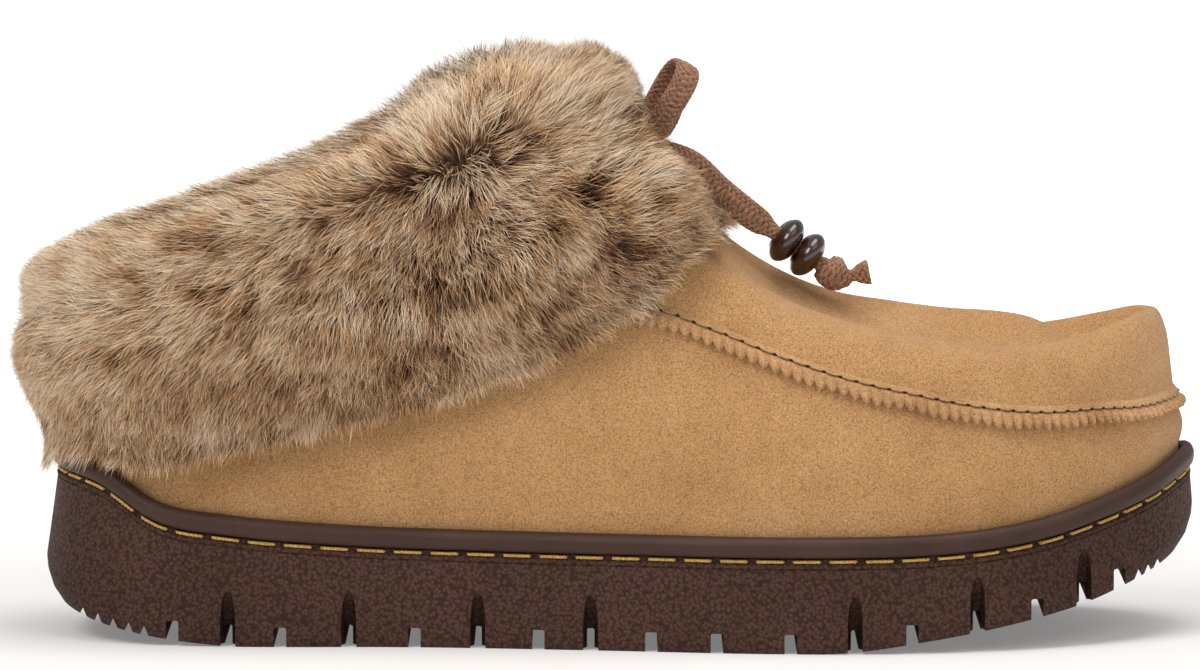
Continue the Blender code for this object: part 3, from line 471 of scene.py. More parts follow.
def floor_height(x):
    along = np.clip((np.asarray(x) - HEEL_BACK_X) / SOLE_LENGTH, 0, 1)
    fall = smooth_step(0.25, 0.65, along)
    bottom = np.where(along > 0.5, tread_height(x), 0)
    return HEEL_SOLE_THICKNESS + (BALL_SOLE_THICKNESS - HEEL_SOLE_THICKNESS) * fall + bottom


def tip_share(round_):
    heel = np.clip(1 - round_ / 0.16, 0, 1)
    toe = np.clip(1 - (1 - round_) / 0.17, 0, 1)
    return heel**1.5 + toe**1.5


def wall_inset(round_):
    lean = np.clip(1 - round_ / 0.14, 0, 1)
    return WALL_SET_BACK + HEEL_WALL_LEAN * lean * lean * (3 - 2 * lean)


def upper_marks(round_):
    """Heights above the welt and places inwards of the section's eight marks."""
    round_ = np.atleast_1d(round_)
    seam_h, seam_in, ridge_h, ridge_in, trough_h, trough_in, top_h, top_in = curve_through(
        SECTIONS, round_
    ).T
    turn = np.clip((round_ - OPENING_WIDEST) / (THROAT - OPENING_WIDEST), 0, 1)
    widest = curve_through(SECTIONS, OPENING_WIDEST)[0, -1]
    arc = 1 - (1 - widest) * np.sqrt(1 - turn**2)
    top_in = np.where(round_ > OPENING_WIDEST, arc, top_in)
    shoulder_h = seam_h + SHOULDER_HEIGHT * (ridge_h - seam_h)
    shoulder_in = seam_in + SHOULDER_IN * (ridge_in - seam_in)
    none = np.zeros_like(seam_h)
    heights = [none, none, BULGE_HEIGHT * seam_h, seam_h, shoulder_h, ridge_h, trough_h, top_h]
    inwards = [none, none, none, seam_in, shoulder_in, ridge_in, trough_in, top_in]
    return np.stack(heights).T * INSTEP_RISE, np.stack(inwards).T


def through_marks(marks, up):
    """Reads marks[n, 8] at the places up[n], on a smooth curve from mark 1 on."""
    n = np.arange(len(up))
    i = np.clip(np.floor(up).astype(int), 0, 6)
    t = up - i
    before = marks[n, np.maximum(i - 1, 1)]
    a, b = marks[n, i], marks[n, i + 1]
    after = marks[n, np.minimum(i + 2, 7)]
    m0, m1 = (b - before) / 2, (after - a) / 2
    smooth = (2 * t**3 - 3 * t**2 + 1) * a + (t**3 - 2 * t**2 + t) * m0
    smooth = smooth + (3 * t**2 - 2 * t**3) * b + (t**3 - t**2) * m1
    return np.where(i == 0, a + t * (b - a), smooth)


def upper_point(side, round_, up):
    """Points of the upper's outer face."""
    round_, up = np.broadcast_arrays(np.atleast_1d(np.asarray(round_, float)), up)
    up = up.astype(float)
    base = outline_point(side, round_, wall_inset(round_) + CUP_WALL + CLEARANCE)
    along, inward = curve_through(CENTRE_LINE, round_).T
    centre = np.stack([HEEL_BACK_X + along * SOLE_LENGTH, inward * BALL_WIDTH], 1)
    to_centre = centre - base
    heights, inwards = upper_marks(round_)
    bulge = np.zeros_like(heights)
    bulge[:, 2] = BULGE_OUT
    place = through_marks(inwards, up)[:, None]
    out = through_marks(bulge, up)[:, None] / np.linalg.norm(to_centre, axis=1, keepdims=True)
    welt_top = side_top(round_) + CLEARANCE + WELT_HEIGHT
    floor = floor_height(base[:, 0]) + CLEARANCE
    height = np.where(up < 1, floor + up * (welt_top - floor), welt_top + through_marks(heights, up))
    return np.column_stack([base + to_centre * (place - out), height])


def upper_normal(side, round_, up):
    """Outward unit normals of the upper's outer face."""
    round_, up = np.broadcast_arrays(np.atleast_1d(np.asarray(round_, float)), up)
    step = 4e-3
    before, after = np.maximum(round_ - step, 0), np.minimum(round_ + step, 1)
    above, below = np.minimum(up + 0.02, 7), up - 0.02
    across = upper_point(side, after, up) - upper_point(side, before, up)
    climb = upper_point(side, round_, above) - upper_point(side, round_, below)
    normal = np.cross(across, climb) * -side
    # On the plane where both sides meet, the normal has no part across it.
    middle = (round_ < TINY) | (round_ > 1 - TINY) | (up > 7 - TINY) & (round_ >= THROAT - TINY)
    mirror = np.cross(
        upper_point(-side, after, up) - upper_point(-side, before, up),
        upper_point(-side, round_, above) - upper_point(-side, round_, below),
    )
    return unit(np.where(middle[:, None], normal + mirror * side, normal))


def grid_faces(rows, columns, close_rows=False, close_columns=False):
    """Quads of a grid of points that is stored row by row, as an array."""
    i = np.arange(rows if close_rows else rows - 1)
    j = np.arange(columns if close_columns else columns - 1)
    i, j = (a.ravel() for a in np.meshgrid(i, j, indexing="ij"))
    k, n = (i + 1) % rows, (j + 1) % columns
    return np.stack([i * columns + j, k * columns + j, k * columns + n, i * columns + n], 1)


def add_piece(name, points, faces, paint, replaces=(), smooth_angle=60, weld=2e-5):
    """A mesh piece with its faces turned outwards, riding on the shoe's one body."""
    mesh = bpy.data.meshes.new(name)
    mesh.from_pydata(np.asarray(points).tolist(), [], [list(map(int, f)) for f in faces])
    work = bmesh.new()
    work.from_mesh(mesh)
    if weld:
        bmesh.ops.remove_doubles(work, verts=work.verts, dist=weld)
    bmesh.ops.recalc_face_normals(work, faces=work.faces)
    work.to_mesh(mesh)
    work.free()
    obj = bpy.data.objects.new(name, mesh)
    bpy.context.scene.collection.objects.link(obj)
    mesh.materials.append(paint)
    mesh.shade_smooth()
    mesh.set_sharp_from_angle(angle=math.radians(smooth_angle))
    return dress(obj, replaces)


def dress(obj, replaces=()):
    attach(obj, "root")
    if replaces:
        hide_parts(*replaces)
    return obj


# Materials

class Nodes:
    """A short way to write a material's nodes. Numbers and colours stay on the shader's sockets."""

    def __init__(self, name):
        self.material = bpy.data.materials.new(name)
        self.material.use_nodes = True
        self.tree = self.material.node_tree
        self.shader = self.tree.nodes["Principled BSDF"]
        self.place = self.add("ShaderNodeTexCoord").outputs["Object"]

    def add(self, kind, links=(), **settings):
        node = self.tree.nodes.new(kind)
        for key, value in settings.items():
            setattr(node, key, value)
        for socket, value in dict(links).items():
            self.set(node.inputs[socket], value)
        return node

    def set(self, socket, value):
        if isinstance(value, bpy.types.NodeSocket):
            self.tree.links.new(value, socket)
        else:
            socket.default_value = value

    def noise(self, scale, detail=3.0, roughness=0.55, stretch=None, distortion=0.0):
        place = self.place
        if stretch:
            place = self.add("ShaderNodeMapping", {"Vector": place, "Scale": stretch}).outputs[0]
        links = {"Vector": place, "Scale": scale, "Detail": detail, "Roughness": roughness}
        links["Distortion"] = distortion
        return self.add("ShaderNodeTexNoise", links).outputs["Fac"]

    def cells(self, scale, feature="F1", randomness=1.0):
        links = {"Vector": self.place, "Scale": scale, "Randomness": randomness}
        node = self.add("ShaderNodeTexVoronoi", links, feature=feature)
        return node.outputs["Distance"]

    def ramp(self, value, *stops):
        """Colours at places: (place, (r, g, b)) or (place, grey)."""
        node = self.add("ShaderNodeValToRGB", {"Fac": value})
        marks = node.color_ramp.elements
        while len(marks) < len(stops):
            marks.new(1.0)
        for mark, (place, colour) in zip(marks, stops):
            mark.position = place
            mark.color = (*colour, 1) if isinstance(colour, tuple) else (colour,) * 3 + (1,)
        return node.outputs["Color"]

    def mix(self, share, a, b, blend="MIX"):
        node = self.add("ShaderNodeMix", data_type="RGBA", blend_type=blend)
        for socket, value in ((0, share), (6, a), (7, b)):
            if isinstance(value, tuple) and len(value) == 3:
                value = (*value, 1)
            self.set(node.inputs[socket], value)
        return node.outputs[2]

    def maths(self, operation, a, b=0.0, c=0.0, clamp=False):
        node = self.add("ShaderNodeMath", operation=operation, use_clamp=clamp)
        for socket, value in zip(node.inputs, (a, b, c)):
            self.set(socket, value)
        return node.outputs[0]

    def colour(self, value):
        self.set(self.shader.inputs["Base Color"], (*value, 1) if isinstance(value, tuple) else value)

    def bump(self, height, distance, strength=1.0):
        links = {"Height": height, "Distance": distance, "Strength": strength}
        before = self.shader.inputs["Normal"]
        if before.is_linked:
            links["Normal"] = before.links[0].from_socket
        node = self.add("ShaderNodeBump", links)
        self.set(before, node.outputs["Normal"])

    def finish(self, **values):
        for key, value in values.items():
            self.set(self.shader.inputs[key.replace("_", " ")], value)
        return self.material


def suede_material(name, light, mid, dark, grain=1.0):
    """Napped suede: a fine sandy grain, faint brushed clouds, and painted shade that darkens it towards the heel."""
    n = Nodes(name)
    cloud = n.noise(55, 5, 0.62)
    grain_fine = n.noise(2300, 4, 0.8)
    grain_wide = n.noise(900, 2, 0.6)
    base = n.ramp(cloud, (0.25, dark), (0.52, mid), (0.80, light))
    speck = n.ramp(grain_fine, (0.36, 0.48), (0.50, 0.99), (0.64, 1.36))
    length = n.add("ShaderNodeSeparateXYZ", {"Vector": n.place}).outputs["X"]
    # painted shade: the suede is darkened towards the heel's back, for the shade that falls there
    heel = n.ramp(n.maths("MULTIPLY_ADD", length, 5.0, 0.25), (0.0, 0.78), (0.62, 1.0))
    n.colour(n.mix(1.0, n.mix(1.0, base, speck, "MULTIPLY"), heel, "MULTIPLY"))
    n.bump(grain_wide, 0.00009 * grain, 0.7)
    n.bump(grain_fine, 0.00009 * grain, 0.9)
    return n.finish(Roughness=0.95, Specular_IOR_Level=0.12, Sheen_Weight=0.12, Sheen_Roughness=0.55)


def rubber_material():
    """Moulded rubber with a fine pebble grain, with painted shade in its pits and painted light on its tops."""
    n = Nodes("sole_rubber_pebbled")
    cloud = n.noise(30, 3, 0.5)
    pebble = n.cells(1150, "F1")
    base = n.mix(n.ramp(cloud, (0.35, 0.0), (0.7, 1.0)), (0.061, 0.027, 0.018), (0.082, 0.037, 0.025))
    # painted shade and light: the colour is darkened in the pebble grain's pits and lightened on its tops
    n.colour(n.mix(1.0, base, n.ramp(pebble, (0.15, 1.35), (0.45, 0.95), (0.75, 0.45)), "MULTIPLY"))
    n.bump(n.ramp(pebble, (0.1, 1.0), (0.8, 0.0)), 0.00032, 0.9)
    n.set(n.shader.inputs["Roughness"], n.ramp(pebble, (0.1, 0.55), (0.6, 0.70)))
    return n.finish(Specular_IOR_Level=0.20)


def welt_material():
    """Smooth satin rand with fine wrinkles along it."""
    n = Nodes("welt_satin")
    wrinkle = n.noise(260, 3, 0.6, stretch=(0.25, 0.25, 1.6), distortion=0.4)
    pores = n.noise(1700, 2, 0.5)
    n.colour(n.ramp(n.noise(60, 3), (0.3, (0.046, 0.021, 0.014)), (0.7, (0.064, 0.030, 0.021))))
    n.bump(wrinkle, 0.00022, 0.55)
    n.bump(pores, 0.00004, 0.4)
    n.set(n.shader.inputs["Roughness"], n.ramp(wrinkle, (0.3, 0.42), (0.7, 0.56)))
    return n.finish(Specular_IOR_Level=0.25)


def thread_material(name, dark, light, roughness=0.42):
    n = Nodes(name)
    fibre = n.noise(2400, 2, 0.6)
    n.colour(n.ramp(fibre, (0.32, dark), (0.66, light)))
    n.bump(fibre, 0.00005, 0.6)
    return n.finish(Roughness=roughness, Specular_IOR_Level=0.45)


def lace_material():
    """Waxed cotton braid; the braid itself is in the mesh, and its relief paints shade into the gaps between the
    strands.
    """
    n = Nodes("cotton_lace_braid")
    fibre = n.noise(1900, 3, 0.65)
    soft = n.noise(140, 3, 0.55)
    yarn = n.ramp(fibre, (0.30, (0.15, 0.068, 0.036)), (0.50, (0.29, 0.145, 0.083)), (0.72, (0.47, 0.27, 0.165)))
    base = n.mix(1.0, yarn, n.ramp(soft, (0.3, 0.82), (0.7, 1.12)), "MULTIPLY")
    # painted shade: the braid's relief darkens the gaps between strands and lightens the strands' tops
    relief = n.add("ShaderNodeAttribute", attribute_name="braid").outputs["Fac"]
    n.colour(n.mix(1.0, base, n.ramp(relief, (0.05, 0.35), (0.65, 1.15)), "MULTIPLY"))
    n.bump(fibre, 0.00012, 0.8)
    return n.finish(Roughness=0.72, Specular_IOR_Level=0.3, Sheen_Weight=0.15)


def bead_material():
    """Dark stained wood under gloss lacquer, with redder streaks in its grain."""
    n = Nodes("dark_wood_lacquered")
    grain = n.noise(420, 4, 0.6, stretch=(1.0, 1.0, 0.25), distortion=0.6)
    n.colour(n.ramp(grain, (0.35, (0.012, 0.005, 0.004)), (0.60, (0.040, 0.014, 0.008)), (0.80, (0.16, 0.050, 0.018))))
    n.bump(grain, 0.00004, 0.35)
    return n.finish(Roughness=0.20, Specular_IOR_Level=0.55, Coat_Weight=0.6, Coat_Roughness=0.10)


def fleece_material(name, low, high):
    """Curly fleece of the footbed and lining."""
    n = Nodes(name)
    curl = n.noise(420, 4, 0.7, distortion=1.6)
    clump = n.noise(110, 3, 0.6)
    base = n.ramp(curl, (0.30, low), (0.70, high))
    n.colour(n.mix(1.0, base, n.ramp(clump, (0.3, 0.75), (0.7, 1.1)), "MULTIPLY"))
    n.bump(clump, 0.0012, 0.6)
    n.bump(curl, 0.0007, 0.9)
    return n.finish(Roughness=1.0, Specular_IOR_Level=0.1, Sheen_Weight=0.3, Sheen_Roughness=0.5)


def underfur_material():
    """The dense short undercoat between the hairs."""
    n = Nodes("underfur")
    streak = n.noise(500, 4, 0.7, distortion=0.8)
    cloud = n.noise(45, 3, 0.55)
    base = n.ramp(cloud, (0.35, (0.045, 0.026, 0.017)), (0.65, (0.16, 0.095, 0.056)))
    n.colour(n.mix(1.0, base, n.ramp(streak, (0.3, 0.5), (0.75, 1.3)), "MULTIPLY"))
    n.bump(streak, 0.0010, 1.0)
    return n.finish(Roughness=0.95, Specular_IOR_Level=0.1)


def hair_material():
    """Hair colour from its own map: across it is the coat's tone, up it the way to the tip."""
    n = Nodes("fur_hair")
    chart = n.add("ShaderNodeUVMap", uv_map="OFBake").outputs[0]
    axes = n.add("ShaderNodeSeparateXYZ", {"Vector": chart})
    tone, way = axes.outputs["X"], axes.outputs["Y"]
    root = n.ramp(tone, (0.0, (0.008, 0.005, 0.004)), (0.35, (0.024, 0.012, 0.006)), (0.7, (0.10, 0.047, 0.020)),
                  (1.0, (0.25, 0.14, 0.070)))
    middle = n.ramp(tone, (0.0, (0.020, 0.011, 0.007)), (0.25, (0.130, 0.055, 0.023)), (0.5, (0.47, 0.230, 0.098)),
                    (0.75, (0.72, 0.43, 0.22)), (1.0, (0.88, 0.68, 0.46)))
    tip = n.ramp(tone, (0.0, (0.055, 0.030, 0.018)), (0.25, (0.360, 0.165, 0.068)), (0.5, (0.830, 0.500, 0.250)),
                 (0.75, (0.98, 0.74, 0.48)), (1.0, (1.0, 0.90, 0.74)))
    lower = n.mix(n.ramp(way, (0.26, 0.0), (0.74, 1.0)), root, middle)
    n.colour(n.mix(n.ramp(way, (0.55, 0.0), (0.95, 1.0)), lower, tip))
    return n.finish(Roughness=0.60, Specular_IOR_Level=0.15)


# Camera and light

def make_camera():
    data = bpy.data.cameras.new("camera")
    data.lens = LENS
    data.sensor_width = 36.0
    data.clip_end = 60.0
    camera = bpy.data.objects.new("camera", data)
    bpy.context.scene.collection.objects.link(camera)
    distance = PIXEL * IMAGE_WIDTH * LENS / data.sensor_width
    slope = math.radians(ELEVATION)
    back = Vector((0, -math.cos(slope), math.sin(slope)))
    camera.location = Vector(AIM) + back * distance
    camera.rotation_mode = "QUATERNION"
    camera.rotation_quaternion = (-back).to_track_quat("-Z", "Y")
    bpy.context.scene.camera = camera


def add_area(name, place, target, size, power, colour=(1, 1, 1)):
    data = bpy.data.lights.new(name, "AREA")
    data.shape = "RECTANGLE"
    data.size, data.size_y = size
    data.energy = power
    data.color = colour
    lamp = bpy.data.objects.new(name, data)
    lamp.location = place
    lamp.rotation_mode = "QUATERNION"
    lamp.rotation_quaternion = (Vector(target) - Vector(place)).to_track_quat("-Z", "Y")
    bpy.context.scene.collection.objects.link(lamp)


def make_studio():
    """A pale flat floor that glows white far from the shoe, a white sky, and soft lights."""
    n = Nodes("floor")
    n.colour((0.71, 0.695, 0.68))
    far = n.add("ShaderNodeVectorMath", {0: n.place}, operation="LENGTH").outputs["Value"]
    n.set(n.shader.inputs["Emission Strength"], n.ramp(far, (0.18, 0.20), (0.75, 0.85)))
    n.finish(Roughness=0.9, Specular_IOR_Level=0.1, Emission_Color=(1, 1, 1, 1))
    floor_mesh = bpy.data.meshes.new("floor")
    corners = [(x, y, 0.0) for x, y in ((-9, -9), (9, -9), (9, 9), (-9, 9))]
    floor_mesh.from_pydata(corners, [], [(0, 1, 2, 3)])
    floor_mesh.materials.append(n.material)
    floor = bpy.data.objects.new("floor", floor_mesh)
    floor.location.x = 0.085
    bpy.context.scene.collection.objects.link(floor)
    world = bpy.data.worlds.new("studio")
    bpy.context.scene.world = world
    world.use_nodes = True
    sky = world.node_tree.nodes["Background"]
    sky.inputs["Color"].default_value = (1.0, 1.0, 1.0, 1)
    sky.inputs["Strength"].default_value = 0.42
    middle = (0.085, 0.0, 0.06)
    add_area("key", (-0.75, -0.95, 1.25), middle, (0.7, 0.7), 11.5, (1.0, 0.985, 0.96))
    add_area("fill", (1.0, -0.9, 1.2), middle, (1.2, 0.9), 4)
    add_area("top", (0.2, -0.1, 1.5), middle, (1.0, 0.8), 11)
    bpy.context.scene.view_settings.view_transform = "Standard"


# Lace and beads

def lace_points(rows, side):
    """World points of a lace's centre line, on the outer (-1) or the inner (1) half."""
    rows = np.atleast_2d(np.asarray(rows, float))
    middle = float(curve_through(CENTRE_LINE, 0.55)[0, 1]) * BALL_WIDTH
    lower = (1 + side) * rows[:, 1] * VIEW_SLOPE
    return np.stack([HEEL_BACK_X + rows[:, 0], middle + side * rows[:, 1], rows[:, 2] - lower], 1)


def braid_height(along, around):
    """Relief of a flat braid, from 0 to 1: strands that cross over and under each other."""
    a, b = along + around, along - around
    cell = (np.floor(a) + np.floor(b)) % 2
    fa, fb = a - np.floor(a) - 0.5, b - np.floor(b) - 0.5
    across = np.where(cell == 0, fa, fb)
    along_ = np.where(cell == 0, fb, fa)
    return np.clip(1 - 3.2 * across**2 - 1.1 * along_**2, 0, 1)


def add_braid(lace, braid):
    """Keeps the braid's relief on the mesh, for the painted shade in the braid's gaps."""
    relief = lace.data.attributes.new("braid", "FLOAT", "POINT")
    relief.data.foreach_set("value", braid.ravel().astype(np.float32))


def make_lace(name, points, wide, widths, thick, paint, nodes):
    """A flat braid swept along a smooth line, and its centre line and length."""
    knots = np.arange(len(points), dtype=float)
    fine = np.linspace(0, len(points) - 1, 400)
    rough = curve_through(np.column_stack([knots, points]), fine)
    way = np.concatenate([[0], np.cumsum(np.linalg.norm(np.diff(rough, axis=0), axis=1))])
    rows = int(way[-1] / 0.00022)
    at = np.interp(np.linspace(0, way[-1], rows), way, fine)
    line = curve_through(np.column_stack([knots, points]), at)
    width = curve_through(np.column_stack([knots, widths]), at)[:, 0] * LACE_WIDTH / 2
    depth = curve_through(np.column_stack([knots, thick]), at)[:, 0] * LACE_THICKNESS / 2
    along = unit(np.gradient(line, axis=0))
    wide = curve_through(np.column_stack([knots, wide]), at)
    wide = unit(wide - (wide * along).sum(1, keepdims=True) * along)
    flat = np.cross(along, wide)
    columns = 48
    turn = 2 * math.pi * np.arange(columns) / columns
    # A rounded flat section: wider than an ellipse, with soft edges.
    cx = np.sign(np.cos(turn)) * np.abs(np.cos(turn)) ** 0.62
    cy = np.sign(np.sin(turn)) * np.abs(np.sin(turn)) ** 0.78
    s = np.linspace(0, way[-1], rows)[:, None]
    braid = braid_height(s / 0.0014, np.arange(columns)[None] * 8 / columns)
    lift = braid * 0.00058 - 0.00048
    x = cx[None] * (width[:, None] + lift)
    y = cy[None] * (depth[:, None] + lift)
    grid = line[:, None] + wide[:, None] * x[..., None] + flat[:, None] * y[..., None]
    points_ = grid.reshape(-1, 3)
    faces = [tuple(f) for f in grid_faces(rows, columns, close_columns=True)]
    faces += [tuple(range(columns)), tuple(columns * (rows - 1) + i for i in reversed(range(columns)))]
    lace = add_piece(name, points_, faces, paint, nodes, 180, 0)
    add_braid(lace, braid)
    return lace, line, way[-1]


def make_bead(name, centre, axis, paint, nodes):
    """A lens-shaped bead turned round its hole."""
    t = np.linspace(0, 1, 25)
    along = -0.5 + t
    radius = BEAD_RADIUS * (0.50 + 0.50 * (1 - np.abs(2 * t - 1) ** 1.9) ** 0.80)
    profile = [(a, r) for a, r in zip(along, radius)]
    profile += [(0.47, BEAD_HOLE_RADIUS), (0.2, BEAD_HOLE_RADIUS), (-0.2, BEAD_HOLE_RADIUS), (-0.47, BEAD_HOLE_RADIUS)]
    segments = 64
    turn = 2 * math.pi * np.arange(segments) / segments
    points = [(r * math.cos(a), r * math.sin(a), x * BEAD_LENGTH) for x, r in profile for a in turn]
    faces = grid_faces(len(profile), segments, True, True)
    bead = add_piece(name, points, faces, paint, (), 50, 0)
    spin = Vector(axis).to_track_quat("Z", "Y").to_matrix().to_4x4()
    bead.data.transform(spin)
    bead.data.transform(Matrix.Translation(centre))
    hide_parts(*nodes)
    return bead


def make_laces():
    paint, wood = lace_material(), bead_material()
    make_knot(paint)
    half = np.array(LOOP_SHAPE)
    shape = np.concatenate([half * (1, -1), half[-2::-1]])
    for word, foot, out, apart, length, spread in LOOPS:
        out, apart = unit(np.array(out)), np.array(apart)
        apart = unit(apart - out * (apart @ out))
        points = lace_points(foot, 1) + (0, 0, 2 * foot[1] * VIEW_SLOPE)
        points = points + shape[:, :1] * out * length + shape[:, 1:] * apart * spread
        wide = np.tile(np.cross(out, apart), (len(points), 1))
        same = np.ones(len(points))
        name = f"lace_loop_{word}"
        lace, line, real = make_lace(f"{name}_braid", points, wide, same, same, paint, (name,))
    rows = np.array(LACE_END)
    for side, word in zip(SIDES, ("outer", "inner")):
        end = lace_points(rows, side)
        wide = np.tile((0.45, 0.15 * side, 0.88), (len(end), 1))
        name = f"lace_end_{word}"
        lace, line, real = make_lace(f"{name}_braid", end, wide, rows[:, 3], rows[:, 4], paint, (name,))
        first, last = end[6], end[8]
        for k, share in enumerate(BEADS_AT):
            node = f"bead_{word}_{k + 1}"
            place = first + (last - first) * share
            make_bead(f"{node}_turned", place, unit(last - first), wood, (node,))


# Sole, welt and their stitches

def ring_rounds(count):
    """Shares along half of the outline, closer together at the tips."""
    t = np.linspace(0, 1, count + 1)
    return t - 0.045 * np.sin(4 * math.pi * t) / 2 - 0.05 * np.sin(2 * math.pi * t) / 2


def once_round(count, rows):
    """Rows of points once round the sole; a row is (inset, height) as functions of (round, x)."""
    shares = ring_rounds(count)
    found = []
    for inset, height in rows:
        loop = []
        for side, part in ((-1, shares), (1, shares[-2:0:-1])):
            spots = outline_point(side, part, inset(part))
            loop.append(np.column_stack([spots, height(part, spots[:, 0])]))
        found.append(np.concatenate(loop))
    return np.concatenate(found)


def bridge_across(first, columns):
    """Faces that close a loop of points by pairing its outer half with its inner half."""
    faces = []
    for i in range(columns // 2):
        a, b = first + i, first + i + 1
        c, d = first + (columns - i - 1) % columns, first + (columns - i) % columns
        face = [a, b, c, d]
        faces.append(tuple(dict.fromkeys(face)))
    return faces


def make_sole(paint):
    """The cup sole with its stitch groove, then its slots, channels and serrations cut out."""
    half = 150
    columns = 2 * half

    def corner(r):
        return SIDE_CORNER + (TIP_CORNER - SIDE_CORNER) * tip_share(r)

    def tuck(r):
        return TREAD_TUCK + TIP_TUCK * tip_share(r)

    rows = []
    for t in (0.0, 0.30, 0.60, 0.85, 1.0):
        turn = t * math.pi / 2
        rows.append((
            lambda r, a=turn: tuck(r) * (1 - math.sin(a)),
            lambda r, x, a=turn: tread_height(x) + corner(r) * (1 - math.cos(a)),
        ))
    low, lip = STITCH_LEDGE_HEIGHT, 0.0013
    for share in (0.25, 0.5, 0.75):
        rows.append((
            lambda r, k=share: wall_inset(r) * k,
            lambda r, x, k=share: (1 - k) * (tread_height(x) + corner(r)) + k * (side_top(r) - low - lip),
        ))
    for inset, drop in (
        (0.0000, low + lip),
        (0.00022, low + lip - 0.00015),
        (0.00022, low + lip - 0.00030),
        (-0.00008, low + lip - 0.00050),
        (-0.00012, low + 0.00035),
        (0.00008, low + 0.00005),
        (0.00030, low - 0.0001),
        (STITCH_LEDGE_DEPTH, low - 0.00030),
        (STITCH_LEDGE_DEPTH + 0.0002, 0.0004),
        (STITCH_LEDGE_DEPTH, 0.0),
        (CUP_WALL, 0.0),
    ):
        rows.append((
            lambda r, k=inset: wall_inset(r) + k,
            lambda r, x, k=drop: side_top(r) - k,
        ))
    rows.append((lambda r: wall_inset(r) + CUP_WALL, lambda r, x: floor_height(x)))
    points = once_round(half, rows)
    faces = [tuple(f) for f in grid_faces(len(rows), columns, close_columns=True)]
    faces += bridge_across(0, columns) + bridge_across((len(rows) - 1) * columns, columns)
    sole = add_piece("outsole_moulded", points, faces, paint, ("outsole",), 40)
    for name, cutter in (("channels", channel_cutter()), ("slots", slot_cutter())):
        cut = sole.modifiers.new(name, "BOOLEAN")
        cut.operation = "DIFFERENCE"
        cut.solver = "EXACT"
        cut.object = cutter
    bpy.context.view_layer.update()
    graph = bpy.context.evaluated_depsgraph_get()
    mesh = bpy.data.meshes.new_from_object(sole.evaluated_get(graph), depsgraph=graph)
    sole.modifiers.clear()
    sole.data = mesh
    for name in ("cut_channels", "cut_slots"):
        bpy.data.objects.remove(bpy.data.objects[name])
    mesh.shade_smooth()
    mesh.set_sharp_from_angle(angle=math.radians(32))
    even = sole.modifiers.new("normals", "WEIGHTED_NORMAL")
    even.keep_sharp = True
    return sole


def cutter_object(name, points, faces):
    mesh = bpy.data.meshes.new(name)
    mesh.from_pydata([tuple(map(float, p)) for p in points], [], [tuple(map(int, f)) for f in faces])
    work = bmesh.new()
    work.from_mesh(mesh)
    bmesh.ops.recalc_face_normals(work, faces=work.faces)
    work.to_mesh(mesh)
    work.free()
    cutter = bpy.data.objects.new(name, mesh)
    bpy.context.scene.collection.objects.link(cutter)
    return cutter


def serration_places():
    """Where the V cuts are: they count from each end of the tread inwards."""
    first = TIP_TUCK + SERRATION_START
    toe = HEEL_BACK_X + SOLE_LENGTH
    places = [HEEL_BACK_X + first + k * HEEL_SERRATION_PITCH for k in range(HEEL_SERRATIONS)]
    return places + [toe - first - k * TOE_SERRATION_PITCH for k in range(TOE_SERRATIONS)]


def channel_cutter():
    """Grooves across the tread with rounded roofs, and V cuts at the ends."""
    reach = BALL_WIDTH
    half = CHANNEL_WIDTH / 2
    thin = 0.6 * half
    flare = SERRATION_WIDTH / 2
    # place, half width at the tread, half width at the roof, depth, reach below the tread
    cuts = [(share, half, half) for share in CHANNELS_AT] + [(share, thin, thin) for share in SLOTS_AT]
    cuts = [(HEEL_BACK_X + share * SOLE_LENGTH, *size, CHANNEL_DEPTH, CUTTER_REACH) for share, *size in cuts]
    cuts += [(x, flare, 0.12 * flare, SERRATION_DEPTH, CLEARANCE) for x in serration_places()]
    points, faces = [], []
    for x, half, roof, depth, below in cuts:
        foot = half + (half - roof) * below / depth
        left, middle, right = (float(h) for h in tread_height(np.array([x - foot, x, x + foot])))
        profile = [(x - foot, left - below), (x + foot, right - below)]
        soft = min(0.0005, 0.8 * roof)
        for turn in np.radians([0, 30, 60, 90]):
            profile.append((x + roof - soft + soft * math.cos(turn), middle + depth - soft + soft * math.sin(turn)))
        for turn in np.radians([90, 120, 150, 180]):
            profile.append((x - roof + soft + soft * math.cos(turn), middle + depth - soft + soft * math.sin(turn)))
        first, n = len(points), len(profile)
        points += [(px, y, pz) for y in (-reach, reach) for px, pz in profile]
        faces.append(tuple(first + i for i in range(n)))
        faces.append(tuple(first + n + i for i in reversed(range(n))))
        faces += [(first + i, first + n + i, first + n + (i + 1) % n, first + (i + 1) % n) for i in range(n)]
    return cutter_object("cut_channels", points, faces)


